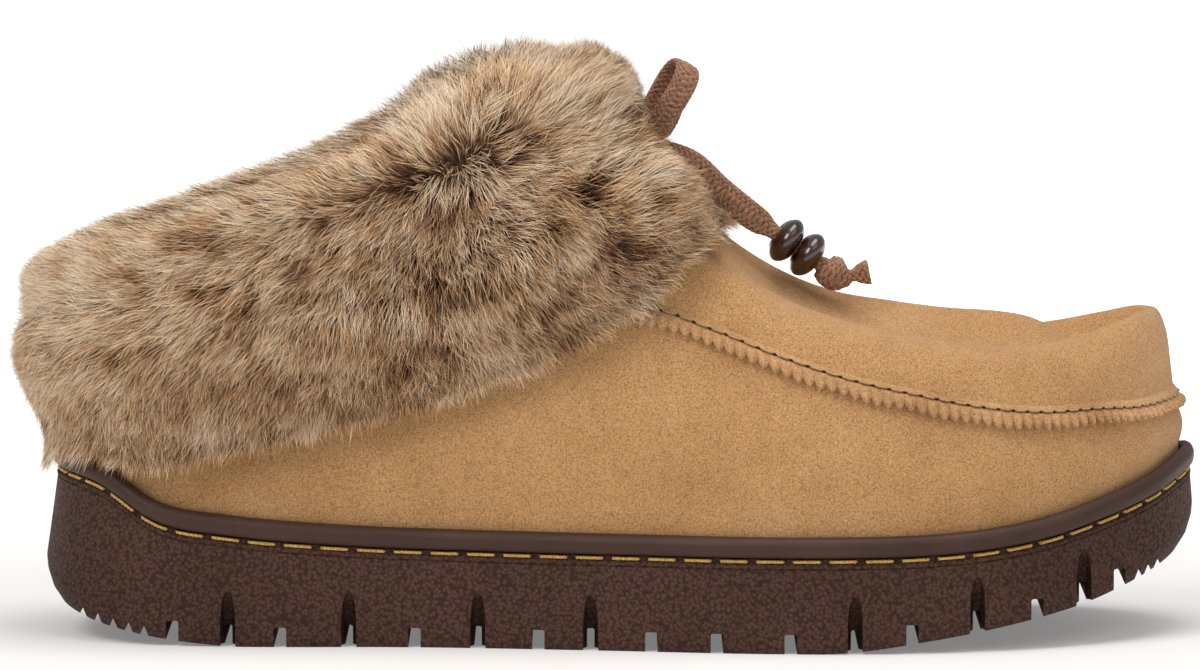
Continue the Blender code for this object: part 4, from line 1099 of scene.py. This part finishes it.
def slot_cutter():
    """Bullet-shaped slots in both side walls, shallower towards their rounded tops."""
    levels = np.concatenate([[-0.35], np.linspace(0, 0.6, 4), [0.7, 0.78, 0.85, 0.91, 0.955, 0.985, 1.0]])
    points, faces = [], []
    for side in SIDES:
        spots = HALVES[side][1]
        middle = spots[:, 0] < HEEL_BACK_X + 0.97 * SOLE_LENGTH
        for at in SLOTS_AT:
            x = HEEL_BACK_X + at * SOLE_LENGTH
            y = float(np.interp(x, spots[middle, 0], spots[middle, 1]))
            foot = float(tread_height(np.array([x]))[0])
            first = len(points)
            for level in levels:
                share = max(level, 0.0)
                half = SLOT_WIDTH / 2 * max(math.sqrt(max(1 - share**4.5, 0)), 0.05)
                depth = 0.0008 + SLOT_DEPTH * max(1 - share**1.5, 0.0)
                z = foot + level * SLOT_HEIGHT
                shape = [(-1, 0.004), (-1, -0.45 * depth), (-0.88, -0.75 * depth), (-0.5, -depth)]
                shape += [(0.5, -depth), (0.88, -0.75 * depth), (1, -0.45 * depth), (1, 0.004)]
                points += [(x + half * sx, y + side * out, z) for sx, out in shape]
            n, m = 8, len(levels)
            faces.append(tuple(first + i for i in range(n)))
            faces.append(tuple(first + (m - 1) * n + i for i in reversed(range(n))))
            faces += [tuple(first + i for i in f) for f in grid_faces(m, n, close_columns=True)]
    return cutter_object("cut_slots", points, faces)


def make_welt(paint):
    """The smooth rolled rand on the cup's edge."""
    out, back = -WELT_BULGE, CUP_WALL - CLEARANCE
    section = (
        # place, inset, height share
        (0.0, out + 0.0011, 0.00),
        (1.0, out + 0.0003, 0.10),
        (2.0, out, 0.34),
        (3.0, out + 0.0001, 0.62),
        (4.0, out + 0.0008, 0.86),
        (5.0, out + 0.0018, 0.98),
        (6.0, back - 0.0006, 0.99),
        (7.0, back, 0.80),
        (8.0, back, 0.00),
    )
    at = np.concatenate([np.linspace(0, 7, 24), [8.0]])
    rows = [
        (
            lambda r, k=inset: wall_inset(r) + k,
            lambda r, x, k=share: side_top(r) + CLEARANCE + np.clip(k, 0, 1) * WELT_HEIGHT,
        )
        for inset, share in curve_through(section, at)
    ]
    points = once_round(190, rows)
    faces = grid_faces(len(rows), 380, True, True)
    return add_piece("welt_rolled", points, faces, paint, ("welt_roll",), 60)


def swept_tubes(paths, radius, sides=6, taper=True):
    """Points and faces of thin closed tubes along paths, an array of [n, k, 3] points."""
    n, k, _ = paths.shape
    along = unit(np.gradient(paths, axis=1))
    lift = np.where(np.abs(along[..., 2:]) < 0.9, (0.0, 0.0, 1.0), (0.0, 1.0, 0.0))
    across = unit(np.cross(along, lift))
    other = np.cross(across, along)
    turn = 2 * math.pi * np.arange(sides) / sides
    size = np.full(k, radius)
    if taper:
        size[[0, -1]] *= 0.35
        size[[1, -2]] *= 0.8
    ring = across[:, :, None] * np.cos(turn)[:, None] + other[:, :, None] * np.sin(turn)[:, None]
    points = paths[:, :, None] + ring * size[None, :, None, None]
    one = grid_faces(k, sides, close_columns=True)
    caps = [list(range(sides)), [sides * (k - 1) + i for i in reversed(range(sides))]]
    faces = [tuple(f + i * k * sides) for i in range(n) for f in one]
    faces += [tuple(np.array(c) + i * k * sides) for i in range(n) for c in caps]
    return points.reshape(-1, 3), faces


def groove_point(side, round_):
    """Middle of the groove between sole and welt, with its outward direction."""
    spots = outline_point(side, round_, wall_inset(round_) + 0.00045)
    inner = outline_point(side, round_, wall_inset(round_) + 0.00145)
    out = unit(spots - inner)
    z = side_top(round_) - 0.45 * STITCH_LEDGE_HEIGHT
    return np.column_stack([spots, z]), np.column_stack([out, np.zeros(len(out))])


def make_sole_stitches(paint):
    """Twisted two-ply stitches in the groove, all round the sole."""
    strands = []
    for side in SIDES:
        length = HALVES[side][2]
        count = int(round(length / SOLE_STITCH_PITCH))
        for k in range(count):
            start = (k + 0.5 * SOLE_STITCH_GAP / SOLE_STITCH_PITCH) / count
            stop = (k + 1 - 0.5 * SOLE_STITCH_GAP / SOLE_STITCH_PITCH) / count
            at = np.linspace(start, stop, 25)
            middle, out = groove_point(side, at)
            t = np.linspace(0, 1, 25)
            sink = 0.0009 * np.clip(1 - np.minimum(t, 1 - t) / 0.10, 0, 1) ** 2
            middle = middle - out * sink[:, None]
            for phase in (0, math.pi):
                turn = 2 * math.pi * 4.2 * t + phase
                twist = 0.30 * SOLE_THREAD * (out * np.cos(turn)[:, None] + np.array([0, 0, 1.0]) * np.sin(turn)[:, None])
                strands.append(middle + twist * 1.3)
    points, faces = swept_tubes(np.array(strands), SOLE_THREAD * 0.72)
    return add_piece("sole_stitches", points, faces, paint, (), 180, 0)


# Upper, seam and footbed

def upper_rounds(behind, bend, ahead):
    a = np.linspace(0, 1, behind + 1)
    a = OPENING_WIDEST * (a - 0.25 * np.sin(math.pi * a) / math.pi)
    b = OPENING_WIDEST + (THROAT - OPENING_WIDEST) * np.sin(np.linspace(0, math.pi / 2, bend + 1))[1:]
    c = THROAT + (1 - THROAT) * np.linspace(0, 1, ahead + 1)[1:]
    return np.concatenate([a, b, c])


def seam_relief(round_, up, slope):
    """How far the seam pulls the suede in, with a soft pucker at each stitch."""
    reach = smooth_step(SEAM_START - 0.01, SEAM_START + 0.01, round_)
    away = (up - 3.0) * slope
    crease = np.exp(-((away / 0.0007) ** 2))
    above = np.exp(-(((away - 0.0035) / 0.0035) ** 2)) * (away > -0.001)
    length = HALVES[-1][2]
    wave = 0.5 + 0.5 * np.cos(2 * math.pi * round_ * length / SEAM_STITCH_PITCH)
    return reach * (-0.00055 * crease + 0.00018 * above * (wave - 0.5))


def upper_surface(side, rounds, ups):
    """The dressed outer face of the upper as a grid [rounds, ups, 3]."""
    r, u = (a.ravel() for a in np.meshgrid(rounds, ups, indexing="ij"))
    spots, normals = upper_point(side, r, u), upper_normal(side, r, u)
    step = np.linalg.norm(upper_point(side, r, np.minimum(u + 0.05, 7)) - upper_point(side, r, u - 0.05), axis=1)
    slope = step / 0.1
    lift = seam_relief(r, u, slope)
    return (spots + normals * lift[:, None]).reshape(len(rounds), len(ups), 3)


def make_upper(paint):
    """The suede upper: one wall with the moccasin apron's padded ridge and its stitched seam."""
    rounds = upper_rounds(44, 10, 110)
    ups = np.concatenate([[0, 0.5, 1], np.linspace(1, 2.9, 20)[1:], np.linspace(2.9, 3.3, 12)[1:],
                          np.linspace(3.3, 7, 40)[1:]])
    points, faces = [], []
    for side in SIDES:
        grid = upper_surface(side, rounds, ups)
        first = len(points) * grid.shape[0] * grid.shape[1]
        points.append(grid.reshape(-1, 3))
        faces += [tuple(f + first) for f in grid_faces(*grid.shape[:2])]
    upper = add_piece("upper_suede", np.concatenate(points), faces, paint, ("upper",), 70)
    highest = max(upper.data.polygons, key=lambda p: p.center.z)
    if highest.normal.z < 0:
        upper.data.flip_normals()
    wall = upper.modifiers.new("wall", "SOLIDIFY")
    wall.thickness = UPPER_WALL
    wall.offset = -1
    return upper


def make_seam_strip(paint):
    """The pinked edge of the apron: a raised strip with cut teeth below the stitches."""
    length = HALVES[-1][2]
    teeth = int(round((1 - SEAM_START) * length / PINKING_PITCH * 1.5))
    per_tooth = 10
    shares = np.linspace(SEAM_START, 1, per_tooth * teeth + 1)
    phase = np.arange(len(shares)) / per_tooth
    # A tooth is a rounded zigzag; its edge wanders a little from tooth to tooth.
    zigzag = np.abs(2 * (phase % 1) - 1)
    zigzag = 1 - (1 - zigzag) ** 1.35
    wander = 0.16 * np.sin(7.3 * np.floor(phase)) + 0.10 * np.sin(23.0 * phase)
    columns = []
    for side in SIDES:
        tooth = SEAM_STRIP_BELOW + PINKING_DEPTH * (0.95 * (zigzag - 0.5) + wander * 0.9)
        mark = np.full(len(shares), 3.0)
        step = upper_point(side, shares, mark + 0.1) - upper_point(side, shares, mark - 0.1)
        slope = np.linalg.norm(step, axis=1) / 0.2
        # place across the strip (1 top, -1 teeth) and lift, from the seam over the edge and under
        section = ((1.0, -0.0004), (0.55, 0.00050), (0.15, 0.00100), (0.0, 0.00050), (-0.15, 0.00110), (-0.45, 0.00165),
                   (-0.80, SEAM_STRIP_THICKNESS), (-0.95, SEAM_STRIP_THICKNESS), (-1.0, 0.00150), (-1.0, 0.0009),
                   (-0.99, 0.0003))
        rows = []
        for place, lift in section:
            reach = np.where(place > 0, SEAM_STRIP_ABOVE * place, tooth * place)
            at = mark + reach / slope
            curl = 0.0012 * (zigzag - 0.5) * (place < -0.4)
            normal = upper_normal(side, shares, at)
            rows.append(upper_point(side, shares, at) + normal * (CLEARANCE + lift - 0.0003 + curl)[:, None])
        rows = np.stack(rows, 1)
        columns.append(rows if side < 0 else rows[-2::-1])
    grid = np.concatenate(columns)
    faces = [tuple(f) for f in grid_faces(*grid.shape[:2], close_columns=True)]
    n = grid.shape[1]
    faces += [tuple(range(n)), tuple(n * (len(grid) - 1) + i for i in reversed(range(n)))]
    return add_piece("seam_strip_pinked", grid.reshape(-1, 3), faces, paint, ("pinked_seam_strip",), 50, 0)


def make_seam_stitches(paint, dark):
    """Thread along the apron seam, and dark dots of painted shade at its needle holes."""
    length = HALVES[-1][2]
    count = int(round((1 - SEAM_START - 0.004) * length / SEAM_STITCH_PITCH))
    strands, holes = [], []
    for side in SIDES:
        edges = np.linspace(SEAM_START + 0.004, 1, count + 1)
        for a, b in zip(edges[:-1], edges[1:]):
            gap = 0.14 * (b - a)
            t = np.linspace(0, 1, 13)
            at = a + gap + (b - a - 2 * gap) * t
            mark = np.full(13, 3.01)
            normal = upper_normal(side, at, mark)
            rise = 0.00120 - 0.0011 * np.clip(1 - np.minimum(t, 1 - t) / 0.16, 0, 1) ** 2
            strands.append(upper_point(side, at, mark) + normal * rise[:, None])
            holes.append((side, a))
    points, faces = swept_tubes(np.array(strands), SEAM_THREAD)
    add_piece("seam_stitches", points, faces, paint, (), 180, 0)
    # painted shade: a near-black dot stands for the shade inside each needle hole
    dots = []
    for side, at in holes:
        t = np.linspace(-1, 1, 5)
        place = np.clip(at + t * 0.00055 / length, 0, 1)
        mark = np.full(5, 3.01)
        normal = upper_normal(side, place, mark)
        dots.append(upper_point(side, place, mark) + normal * 0.00078)
    points, faces = swept_tubes(np.array(dots), 0.00036)
    add_piece("seam_needle_holes", points, faces, dark, (), 180, 0)


def make_insole(paint):
    """The fleece-covered footbed with its softly rounded rim."""
    def inside(r, k=0.0):
        return wall_inset(r) + CUP_WALL + 3 * CLEARANCE + UPPER_WALL + k

    rows = []
    for inset, rise in ((0.0, 0.0), (0.0, 0.6), (0.0004, 0.85), (0.0014, 0.97), (0.0035, 1.0), (0.010, 0.96)):
        rows.append((
            lambda r, k=inset: inside(r, k),
            lambda r, x, k=rise: floor_height(x) + CLEARANCE + k * INSOLE_THICKNESS,
        ))
    points = once_round(110, rows)
    faces = [tuple(f) for f in grid_faces(len(rows), 220, close_columns=True)]
    faces += bridge_across(0, 220) + bridge_across((len(rows) - 1) * 220, 220)
    return add_piece("insole_fleece", points, faces, paint, ("insole",), 60)


# Fur

def topline_stations(count):
    """Shares `round` that divide half of the topline into equal lengths."""
    bend = np.sin(np.linspace(0.02, math.pi / 2, 80))
    bend = OPENING_WIDEST + (THROAT - OPENING_WIDEST) * bend
    fine = np.concatenate([np.linspace(0, OPENING_WIDEST, 60), bend])
    line = upper_point(-1, fine, 7.0)
    way = np.concatenate([[0], np.cumsum(np.linalg.norm(np.diff(line, axis=0), axis=1))])
    return np.interp(np.linspace(0, way[-1], count + 1), way, fine)


class Cuff:
    """The band of the upper that the cuff covers, read at stations once round the collar."""

    def __init__(self, half):
        share = np.linspace(0, 1, half + 1)
        self.half = half
        self.top = np.maximum(topline_stations(half), TINY)
        table = curve_through(CUFF_WAY, share)
        self.edge_round, self.edge_up = table[:, 0], table[:, 1]
        self.edge_up[-1] = 7.0
        self.pile, self.crest, self.crest_pile = (self.once_round(table[:, k]) for k in (2, 3, 4))
        self.turn = self.once_round(np.exp(-(((1 - share) / 0.12) ** 2)))
        self.drop = 1 - 0.45 * np.exp(-(((share - 0.93) / 0.075) ** 2))
        self.heel = self.once_round(np.exp(-((share / 0.16) ** 2)))
        self.length = np.linalg.norm(self.row(1.0) - self.row(0.0), axis=1)

    def row(self, down):
        """Points of the upper's face at shares `down` of the band, once round."""
        down = np.broadcast_to(np.asarray(down, float), (2 * self.half,))
        found = []
        for side, part in ((-1, slice(0, self.half + 1)), (1, slice(self.half - 1, 0, -1))):
            share = down[: self.half + 1] if side < 0 else down[self.half + 1:]
            rounds = self.top[part] + (self.edge_round[part] - self.top[part]) * share
            ups = 7 + (self.edge_up[part] - 7) * share ** self.drop[part]
            found.append(upper_point(side, rounds, ups))
        return np.concatenate(found)

    def once_round(self, values):
        """Values of the outer half, repeated backwards for the inner half."""
        return np.concatenate([values, values[-2:0:-1]])[:, None]

    def frame(self, down):
        """(points, outward normals, directions down the band) at shares `down`."""
        down = np.broadcast_to(np.asarray(down, float), (2 * self.half,))
        spots = self.row(down)
        round_ = np.roll(spots, -1, axis=0) - np.roll(spots, 1, axis=0)
        fall = unit(self.row(np.minimum(down + 0.15, 1)) - self.row(np.maximum(down - 0.15, 0)))
        return spots, unit(np.cross(fall, round_)), fall


class Coat:
    """The pile between its backing and its outer face, read at places (row, station).

    Rows count from below the lower edge (-2) up the outside, over the crest and down inside.
    """

    def __init__(self):
        cuff = Cuff(COAT_STATIONS // 2)
        face, back = [], []
        for down, share in CUFF_OUTSIDE:
            spots, normals, fall = cuff.frame(down)
            thin = 1.05 - HEEL_TAPER * cuff.heel * down**3
            out = np.maximum(cuff.pile * FUR_PILE * share * thin, FUR_CLEARANCE + FUR_LEAST)
            droop = fall * FUR_DROOP if down == 1 else 0
            face.append(spots + normals * out + droop)
            back.append(spots + normals * (FUR_CLEARANCE + 0.0002) + droop)
        spots, normals, fall = cuff.frame(1.0)
        hang = fall * 0.0055 + normals * 0.0009
        for k in (1, 2):
            face.insert(0, face[-len(CUFF_OUTSIDE)] + hang * k)
            back.insert(0, back[-len(CUFF_OUTSIDE)] + hang * k)
        spots, normals, fall = cuff.frame(0.0)
        for climb, share in CUFF_CREST:
            rise = cuff.crest * FUR_CREST * climb
            face.append(spots - fall * rise + normals * cuff.crest_pile * FUR_PILE * share)
            back.append(spots - fall * FUR_CLEARANCE + normals * 0.0012 * share)
        reach = FUR_REACH_INSIDE / cuff.length
        inner = UPPER_WALL + FUR_CLEARANCE * (1 + cuff.turn)
        for depth, thick in CUFF_LINING:
            spots, normals, _ = cuff.frame(depth * reach)
            face.append(spots - normals * (inner + FUR_LINING * thick))
            back.append(spots - normals * inner)
        self.cuff, self.inner, self.reach = cuff, inner, reach
        self.first = -2
        rows = np.arange(len(face)) + self.first
        self.per_row = 8
        fine = np.linspace(rows[0], rows[-1], (len(rows) - 1) * self.per_row + 1)
        self.face, self.back = (
            curve_through(np.column_stack([rows, np.stack(a).reshape(len(rows), -1)]), fine).reshape(len(fine), -1, 3)
            for a in (face, back)
        )
        self.skin = self.back + (self.face - self.back) * COAT_DEPTH
        up = np.gradient(self.face, axis=0) * self.per_row
        on = (np.roll(self.face, -1, axis=1) - np.roll(self.face, 1, axis=1)) / 2
        self.up, self.on = up, on
        self.normal = unit(np.cross(up, on))
        outside = slice(2 * self.per_row, 8 * self.per_row)
        outward = (self.normal[outside] * (self.face - self.back)[outside]).sum()
        if outward < 0:
            self.normal = -self.normal

    def read(self, table, row, station):
        """A table's values at places between its rows and stations."""
        r = np.clip((row - self.first) * self.per_row, 0, len(table) - 1.001)
        i, s = np.floor(r).astype(int), np.floor(station).astype(int)
        a, b = (r - i)[:, None], (station - np.floor(station))[:, None]
        n = table.shape[1]
        low = table[i, s % n] * (1 - b) + table[i, (s + 1) % n] * b
        high = table[i + 1, s % n] * (1 - b) + table[i + 1, (s + 1) % n] * b
        return low * (1 - a) + high * a


def seen_place(points):
    """Distance from the heel's back and seen height; the inner half reads the outer one's."""
    depth = np.abs(points[:, 1] + 0.004) * -1 + BALL_WIDTH / 2
    return np.stack([points[:, 0] - HEEL_BACK_X, points[:, 2] + COAT_SLOPE * depth], 1)


def hair_way(points):
    """Unit directions in the side view from the table of the coat's flow, and how far its rows agree."""
    table = np.array(HAIR_FLOW, float)
    angle = np.radians(table[:, 2])
    gap = np.linalg.norm(seen_place(points)[:, None] - table[None, :, :2], axis=2)
    weight = 1 / (gap + 0.004) ** 3.0
    way = weight @ np.stack([np.cos(angle), np.sin(angle)], 1) / weight.sum(1, keepdims=True)
    agreed = np.linalg.norm(way, axis=1)
    way = way / np.maximum(agreed[:, None], 1e-9)
    return np.stack([way[:, 0], np.zeros(len(way)), way[:, 1]], 1), smooth_step(0.0, 0.85, agreed)


def soft_noise(points, size, seed):
    """Smooth noise from -1 to 1, from a few waves in fixed directions."""
    rng = np.random.default_rng(seed)
    total = np.zeros(len(points))
    for _ in range(9):
        wave = rng.normal(size=3) * 2 * math.pi / size * 0.6
        total += np.sin(points @ wave + rng.uniform(0, 6.28))
    return total / 3.2


def hair_paths(coat, row, station, length, lift, rng):
    """Points of hairs from root to tip, [n, 3, 3], and the coat's normals where they lie."""
    steps = 2
    row, station = row.copy(), station.copy()
    root = coat.read(coat.skin, row, station)
    path, normals = [root], [coat.read(coat.normal, row, station)]
    inside = smooth_step(8.6, 10.5, row)[:, None]
    extra = np.zeros((len(row), 3))
    turn = rng.normal(0, 0.34, len(row))
    for k in range(steps):
        face = coat.read(coat.face, row, station)
        normal = unit(coat.read(coat.normal, row, station))
        up, on = coat.read(coat.up, row, station), coat.read(coat.on, row, station)
        way, agreed = hair_way(face)
        c, s = np.cos(turn), np.sin(turn)
        way = np.stack([way[:, 0] * c - way[:, 2] * s, way[:, 1], way[:, 0] * s + way[:, 2] * c], 1)
        way = unit(way * (1 - inside) + unit(up) * inside)
        out = (way * normal).sum(1, keepdims=True)
        flat = way - normal * out
        flat = flat / np.maximum(np.linalg.norm(flat, axis=1, keepdims=True), 0.35)
        step = (length / steps * (0.15 + 0.73 * agreed))[:, None] * flat
        # Least squares in the two tangents gives the rows and stations walked.
        uu, un, nn = (up * up).sum(1), (up * on).sum(1), (on * on).sum(1)
        su, sn = (step * up).sum(1), (step * on).sum(1)
        det = np.maximum(uu * nn - un * un, 1e-14)
        row = row + np.clip((su * nn - sn * un) / det, -2, 2)
        station = station + np.clip((sn * uu - su * un) / det, -12, 12)
        extra += normal * np.clip(out, 0, 1) * (length / steps * 0.25)[:, None]
        t = (k + 1) / steps
        skin, face = coat.read(coat.skin, row, station), coat.read(coat.face, row, station)
        rise = lift * (1 - (1 - t) ** 1.7)
        path.append(skin + (face - skin) * rise[:, None] + extra * (1 - 0.8 * inside))
        normals.append(normal)
    return np.stack(path, 1), np.stack(normals, 1)


def coat_tone(points, roots, own, rng):
    """How pale each hair is, from 0 to 1, at the place where it shows, with painted shade low on the cuff."""
    seen = seen_place(points)
    tone = own + 0.67 + 0.09 * soft_noise(points, 0.020, 3) + 0.10 * soft_noise(roots, 0.0055, 5)
    tone += 0.16 * smooth_step(0.100, 0.128, seen[:, 1]) - 0.06 * smooth_step(0.105, 0.135, seen[:, 0])
    tone += 0.18 * (1 - smooth_step(0.004, 0.026, seen[:, 0]))
    # painted shade: hairs low on the cuff are darkened for the shade below the top light
    tone -= 0.17 * (1 - smooth_step(0.060, 0.082, seen[:, 1]))
    tone += 0.17 * smooth_step(0.0, 0.012, points[:, 1]) * smooth_step(0.080, 0.100, points[:, 2])
    for along, height, wide, tall, change in COAT_PATCHES:
        gap = ((seen[:, 0] - along) / wide) ** 2 + ((seen[:, 1] - height) / tall) ** 2
        tone += change * np.exp(-0.9 * gap)
    tone += rng.normal(0, 0.17, len(points))
    pick = rng.random(len(points))
    tone += np.where(pick < 0.08, -0.30, 0) + np.where(pick > 0.84, 0.22, 0)
    return np.clip(tone, 0.02, 0.98)


def make_fur_base(coat, paint):
    """The short dense undercoat on the cuff's cloth, a closed ring under the hairs."""
    cuff = coat.cuff
    rows = list(coat.skin[-coat.first * coat.per_row::2])
    for depth in (1.0, 0.5):
        spots, normals, _ = cuff.frame(depth * coat.reach)
        rows.append(spots - normals * coat.inner)
    spots, normals, fall = cuff.frame(0.0)
    rows.append(spots - fall * FUR_CLEARANCE - normals * (UPPER_WALL + FUR_CLEARANCE))
    rows.append(spots - fall * FUR_CLEARANCE + normals * FUR_CLEARANCE)
    for down in (0.2, 0.42, 0.7, 1.0):
        spots, normals, _ = cuff.frame(down)
        rows.append(spots + normals * FUR_CLEARANCE)
    faces = grid_faces(len(rows), COAT_STATIONS, True, True)
    return add_piece("fur_undercoat", np.concatenate(rows), faces, paint, ("fur_cuff",), 60)


def make_hairs(coat, name, first, last, count, paint, rng):
    """Tapering ribbons combed along the coat's flow and drawn together into small tufts."""
    r = int(-coat.first * coat.per_row)
    cells = np.linalg.norm(np.cross(coat.up[r:-1], coat.on[r:-1]), axis=2)[:, first:last]
    rows = (np.arange(cells.shape[0]) / coat.per_row)[:, None]
    cells = cells * np.where(rows > 9.5, 0.45, 1.0) * np.where(rows < 1.0, 1.3, 1.0)
    share = np.cumsum(cells.ravel())

    def roots(n):
        pick = np.searchsorted(share, rng.random(n) * share[-1])
        i, j = np.divmod(pick, cells.shape[1])
        return (i + rng.random(n)) / coat.per_row + 0.05, first + j + rng.random(n)

    def grow(row, station, spread):
        n = len(row)
        length = HAIR_LENGTH * rng.normal(1, spread, n).clip(0.6, 1.35) * np.where(row > 9.5, 0.62, 1.0)
        lift = rng.normal(0.92, 0.13, n).clip(0.5, 1.35)
        return hair_paths(coat, row, station, length, lift, rng)

    row, station = roots(count)
    path, normal = grow(row, station, 0.16)
    own = np.zeros(count)
    for tufts, pull in ((count // 110, 0.20), (count // 16, 0.55)):
        tuft_row, tuft_station = roots(tufts)
        tuft_path, _ = grow(tuft_row, tuft_station, 0.10)
        tree = KDTree(tufts)
        for k, spot in enumerate(tuft_path[:, 0]):
            tree.insert(spot, k)
        tree.balance()
        near = np.array([tree.find(spot)[1] for spot in path[:, 0]])
        own += rng.normal(0, 0.08, tufts)[near]
        pulls = (pull * rng.uniform(0.4, 1.25, count))[:, None, None]
        path = path + (tuft_path[near] - path) * pulls * (np.arange(3) / 2)[None, :, None] ** 1.3
    tone = coat_tone((path[:, 1] + path[:, 2]) / 2, path[:, 0], own, rng)
    path[:, 1:] += rng.normal(0, 0.00034, path[:, 1:].shape) * np.array([0.8, 1.8])[None, :, None]
    along = unit(np.gradient(path, axis=1))
    across = unit(np.cross(along, normal))
    lean = rng.uniform(-1.1, 1.1, count)[:, None, None]
    across = across * np.cos(lean) + np.cross(along, across) * np.sin(lean)
    half = HAIR_WIDTH / 2 * rng.uniform(0.7, 1.35, count)[:, None, None] * np.array([0.85, 0.95, 0.0])[None, :, None]
    left, right = path - across * half, path + across * half
    points = np.stack([left[:, 0], right[:, 0], left[:, 1], right[:, 1], path[:, 2]], 1)
    at = 5 * np.arange(count)[:, None]
    quads = at + np.array([[0, 1, 3, 2]])
    tips = at + np.array([[2, 3, 4]])
    shade = unit(normal + rng.normal(0, 0.30, (count, 1, 3)) + along * 0.25)
    shade = shade[:, [0, 0, 1, 1, 2]]
    chart = np.empty((count, 5, 2))
    chart[:, :, 0] = tone[:, None] + 0.004 * np.array([-1, 1, -1, 1, 0])
    chart[:, :, 1] = np.array([0.01, 0.01, 0.50, 0.50, 0.99])
    return add_ribbons(name, points.reshape(-1, 3), quads, tips, shade.reshape(-1, 3), chart.reshape(-1, 2), paint)


def add_ribbons(name, points, quads, tips, normals, chart, paint):
    mesh = bpy.data.meshes.new(name)
    mesh.vertices.add(len(points))
    mesh.vertices.foreach_set("co", points.ravel())
    loops = np.concatenate([quads.ravel(), tips.ravel()]).astype(np.int32)
    mesh.loops.add(len(loops))
    mesh.loops.foreach_set("vertex_index", loops)
    starts = np.concatenate([4 * np.arange(len(quads)), 4 * len(quads) + 3 * np.arange(len(tips))])
    mesh.polygons.add(len(starts))
    mesh.polygons.foreach_set("loop_start", starts.astype(np.int32))
    mesh.update(calc_edges=True)
    mesh.uv_layers.new(name="OFBake").uv.foreach_set("vector", chart[loops].ravel())
    mesh.shade_smooth()
    mesh.normals_split_custom_set_from_vertices(normals.tolist())
    mesh.materials.append(paint)
    obj = bpy.data.objects.new(name, mesh)
    bpy.context.scene.collection.objects.link(obj)
    return dress(obj)


def make_fur():
    coat = Coat()
    make_fur_base(coat, underfur_material())
    paint = hair_material()
    rng = np.random.default_rng(SEED)
    quarter = COAT_STATIONS // 4
    for k, name in enumerate(("outer_heel", "outer_front", "inner_front", "inner_heel")):
        make_hairs(coat, f"fur_hair_{name}", k * quarter, (k + 1) * quarter, HAIRS, paint, rng)


def make_knot(paint):
    """The small knot that the loops and the ends come from."""
    turn = np.linspace(0, 2 * math.pi, 97)[:-1]
    rise = np.linspace(-math.pi / 2, math.pi / 2, 49)
    t, s = np.meshgrid(turn, rise)
    braid = braid_height(3 * s * 1.3, 6 * t / math.pi)
    relief = 1 + 0.07 * np.sin(5 * t + 2) + 0.05 * braid
    spots = np.stack([0.85 * np.cos(s) * np.cos(t), np.cos(s) * np.sin(t), np.sin(s)], -1) * relief[..., None]
    points = spots.reshape(-1, 3) * KNOT_RADIUS + lace_points(KNOT_AT, -1)[0]
    faces = grid_faces(49, 96, close_columns=True)
    knot = add_piece("lace_knot_braid", points, faces, paint, ("lace_knot",), 180, 0)
    add_braid(knot, braid)
    return knot


def main():
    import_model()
    make_camera()
    make_laces()
    make_sole(rubber_material())
    make_welt(welt_material())
    make_sole_stitches(thread_material("thread_gold", (0.33, 0.17, 0.035), (0.72, 0.46, 0.13)))
    make_upper(suede_material("suede_napped", (0.530, 0.307, 0.138), (0.480, 0.266, 0.112), (0.420, 0.222, 0.090)))
    make_seam_strip(suede_material("suede_cut_edge", (0.60, 0.36, 0.180), (0.51, 0.285, 0.125), (0.34, 0.170, 0.070), 1.6))
    thread = thread_material("thread_tan", (0.30, 0.16, 0.06), (0.56, 0.34, 0.14), 0.6)
    # painted shade for the needle holes: a near-black material
    hole = thread_material("needle_hole_painted_shade", (0.015, 0.008, 0.005), (0.03, 0.016, 0.01), 0.9)
    make_seam_stitches(thread, hole)
    make_insole(fleece_material("fleece_footbed", (0.26, 0.18, 0.12), (0.58, 0.45, 0.33)))
    make_fur()
    make_studio()


main()
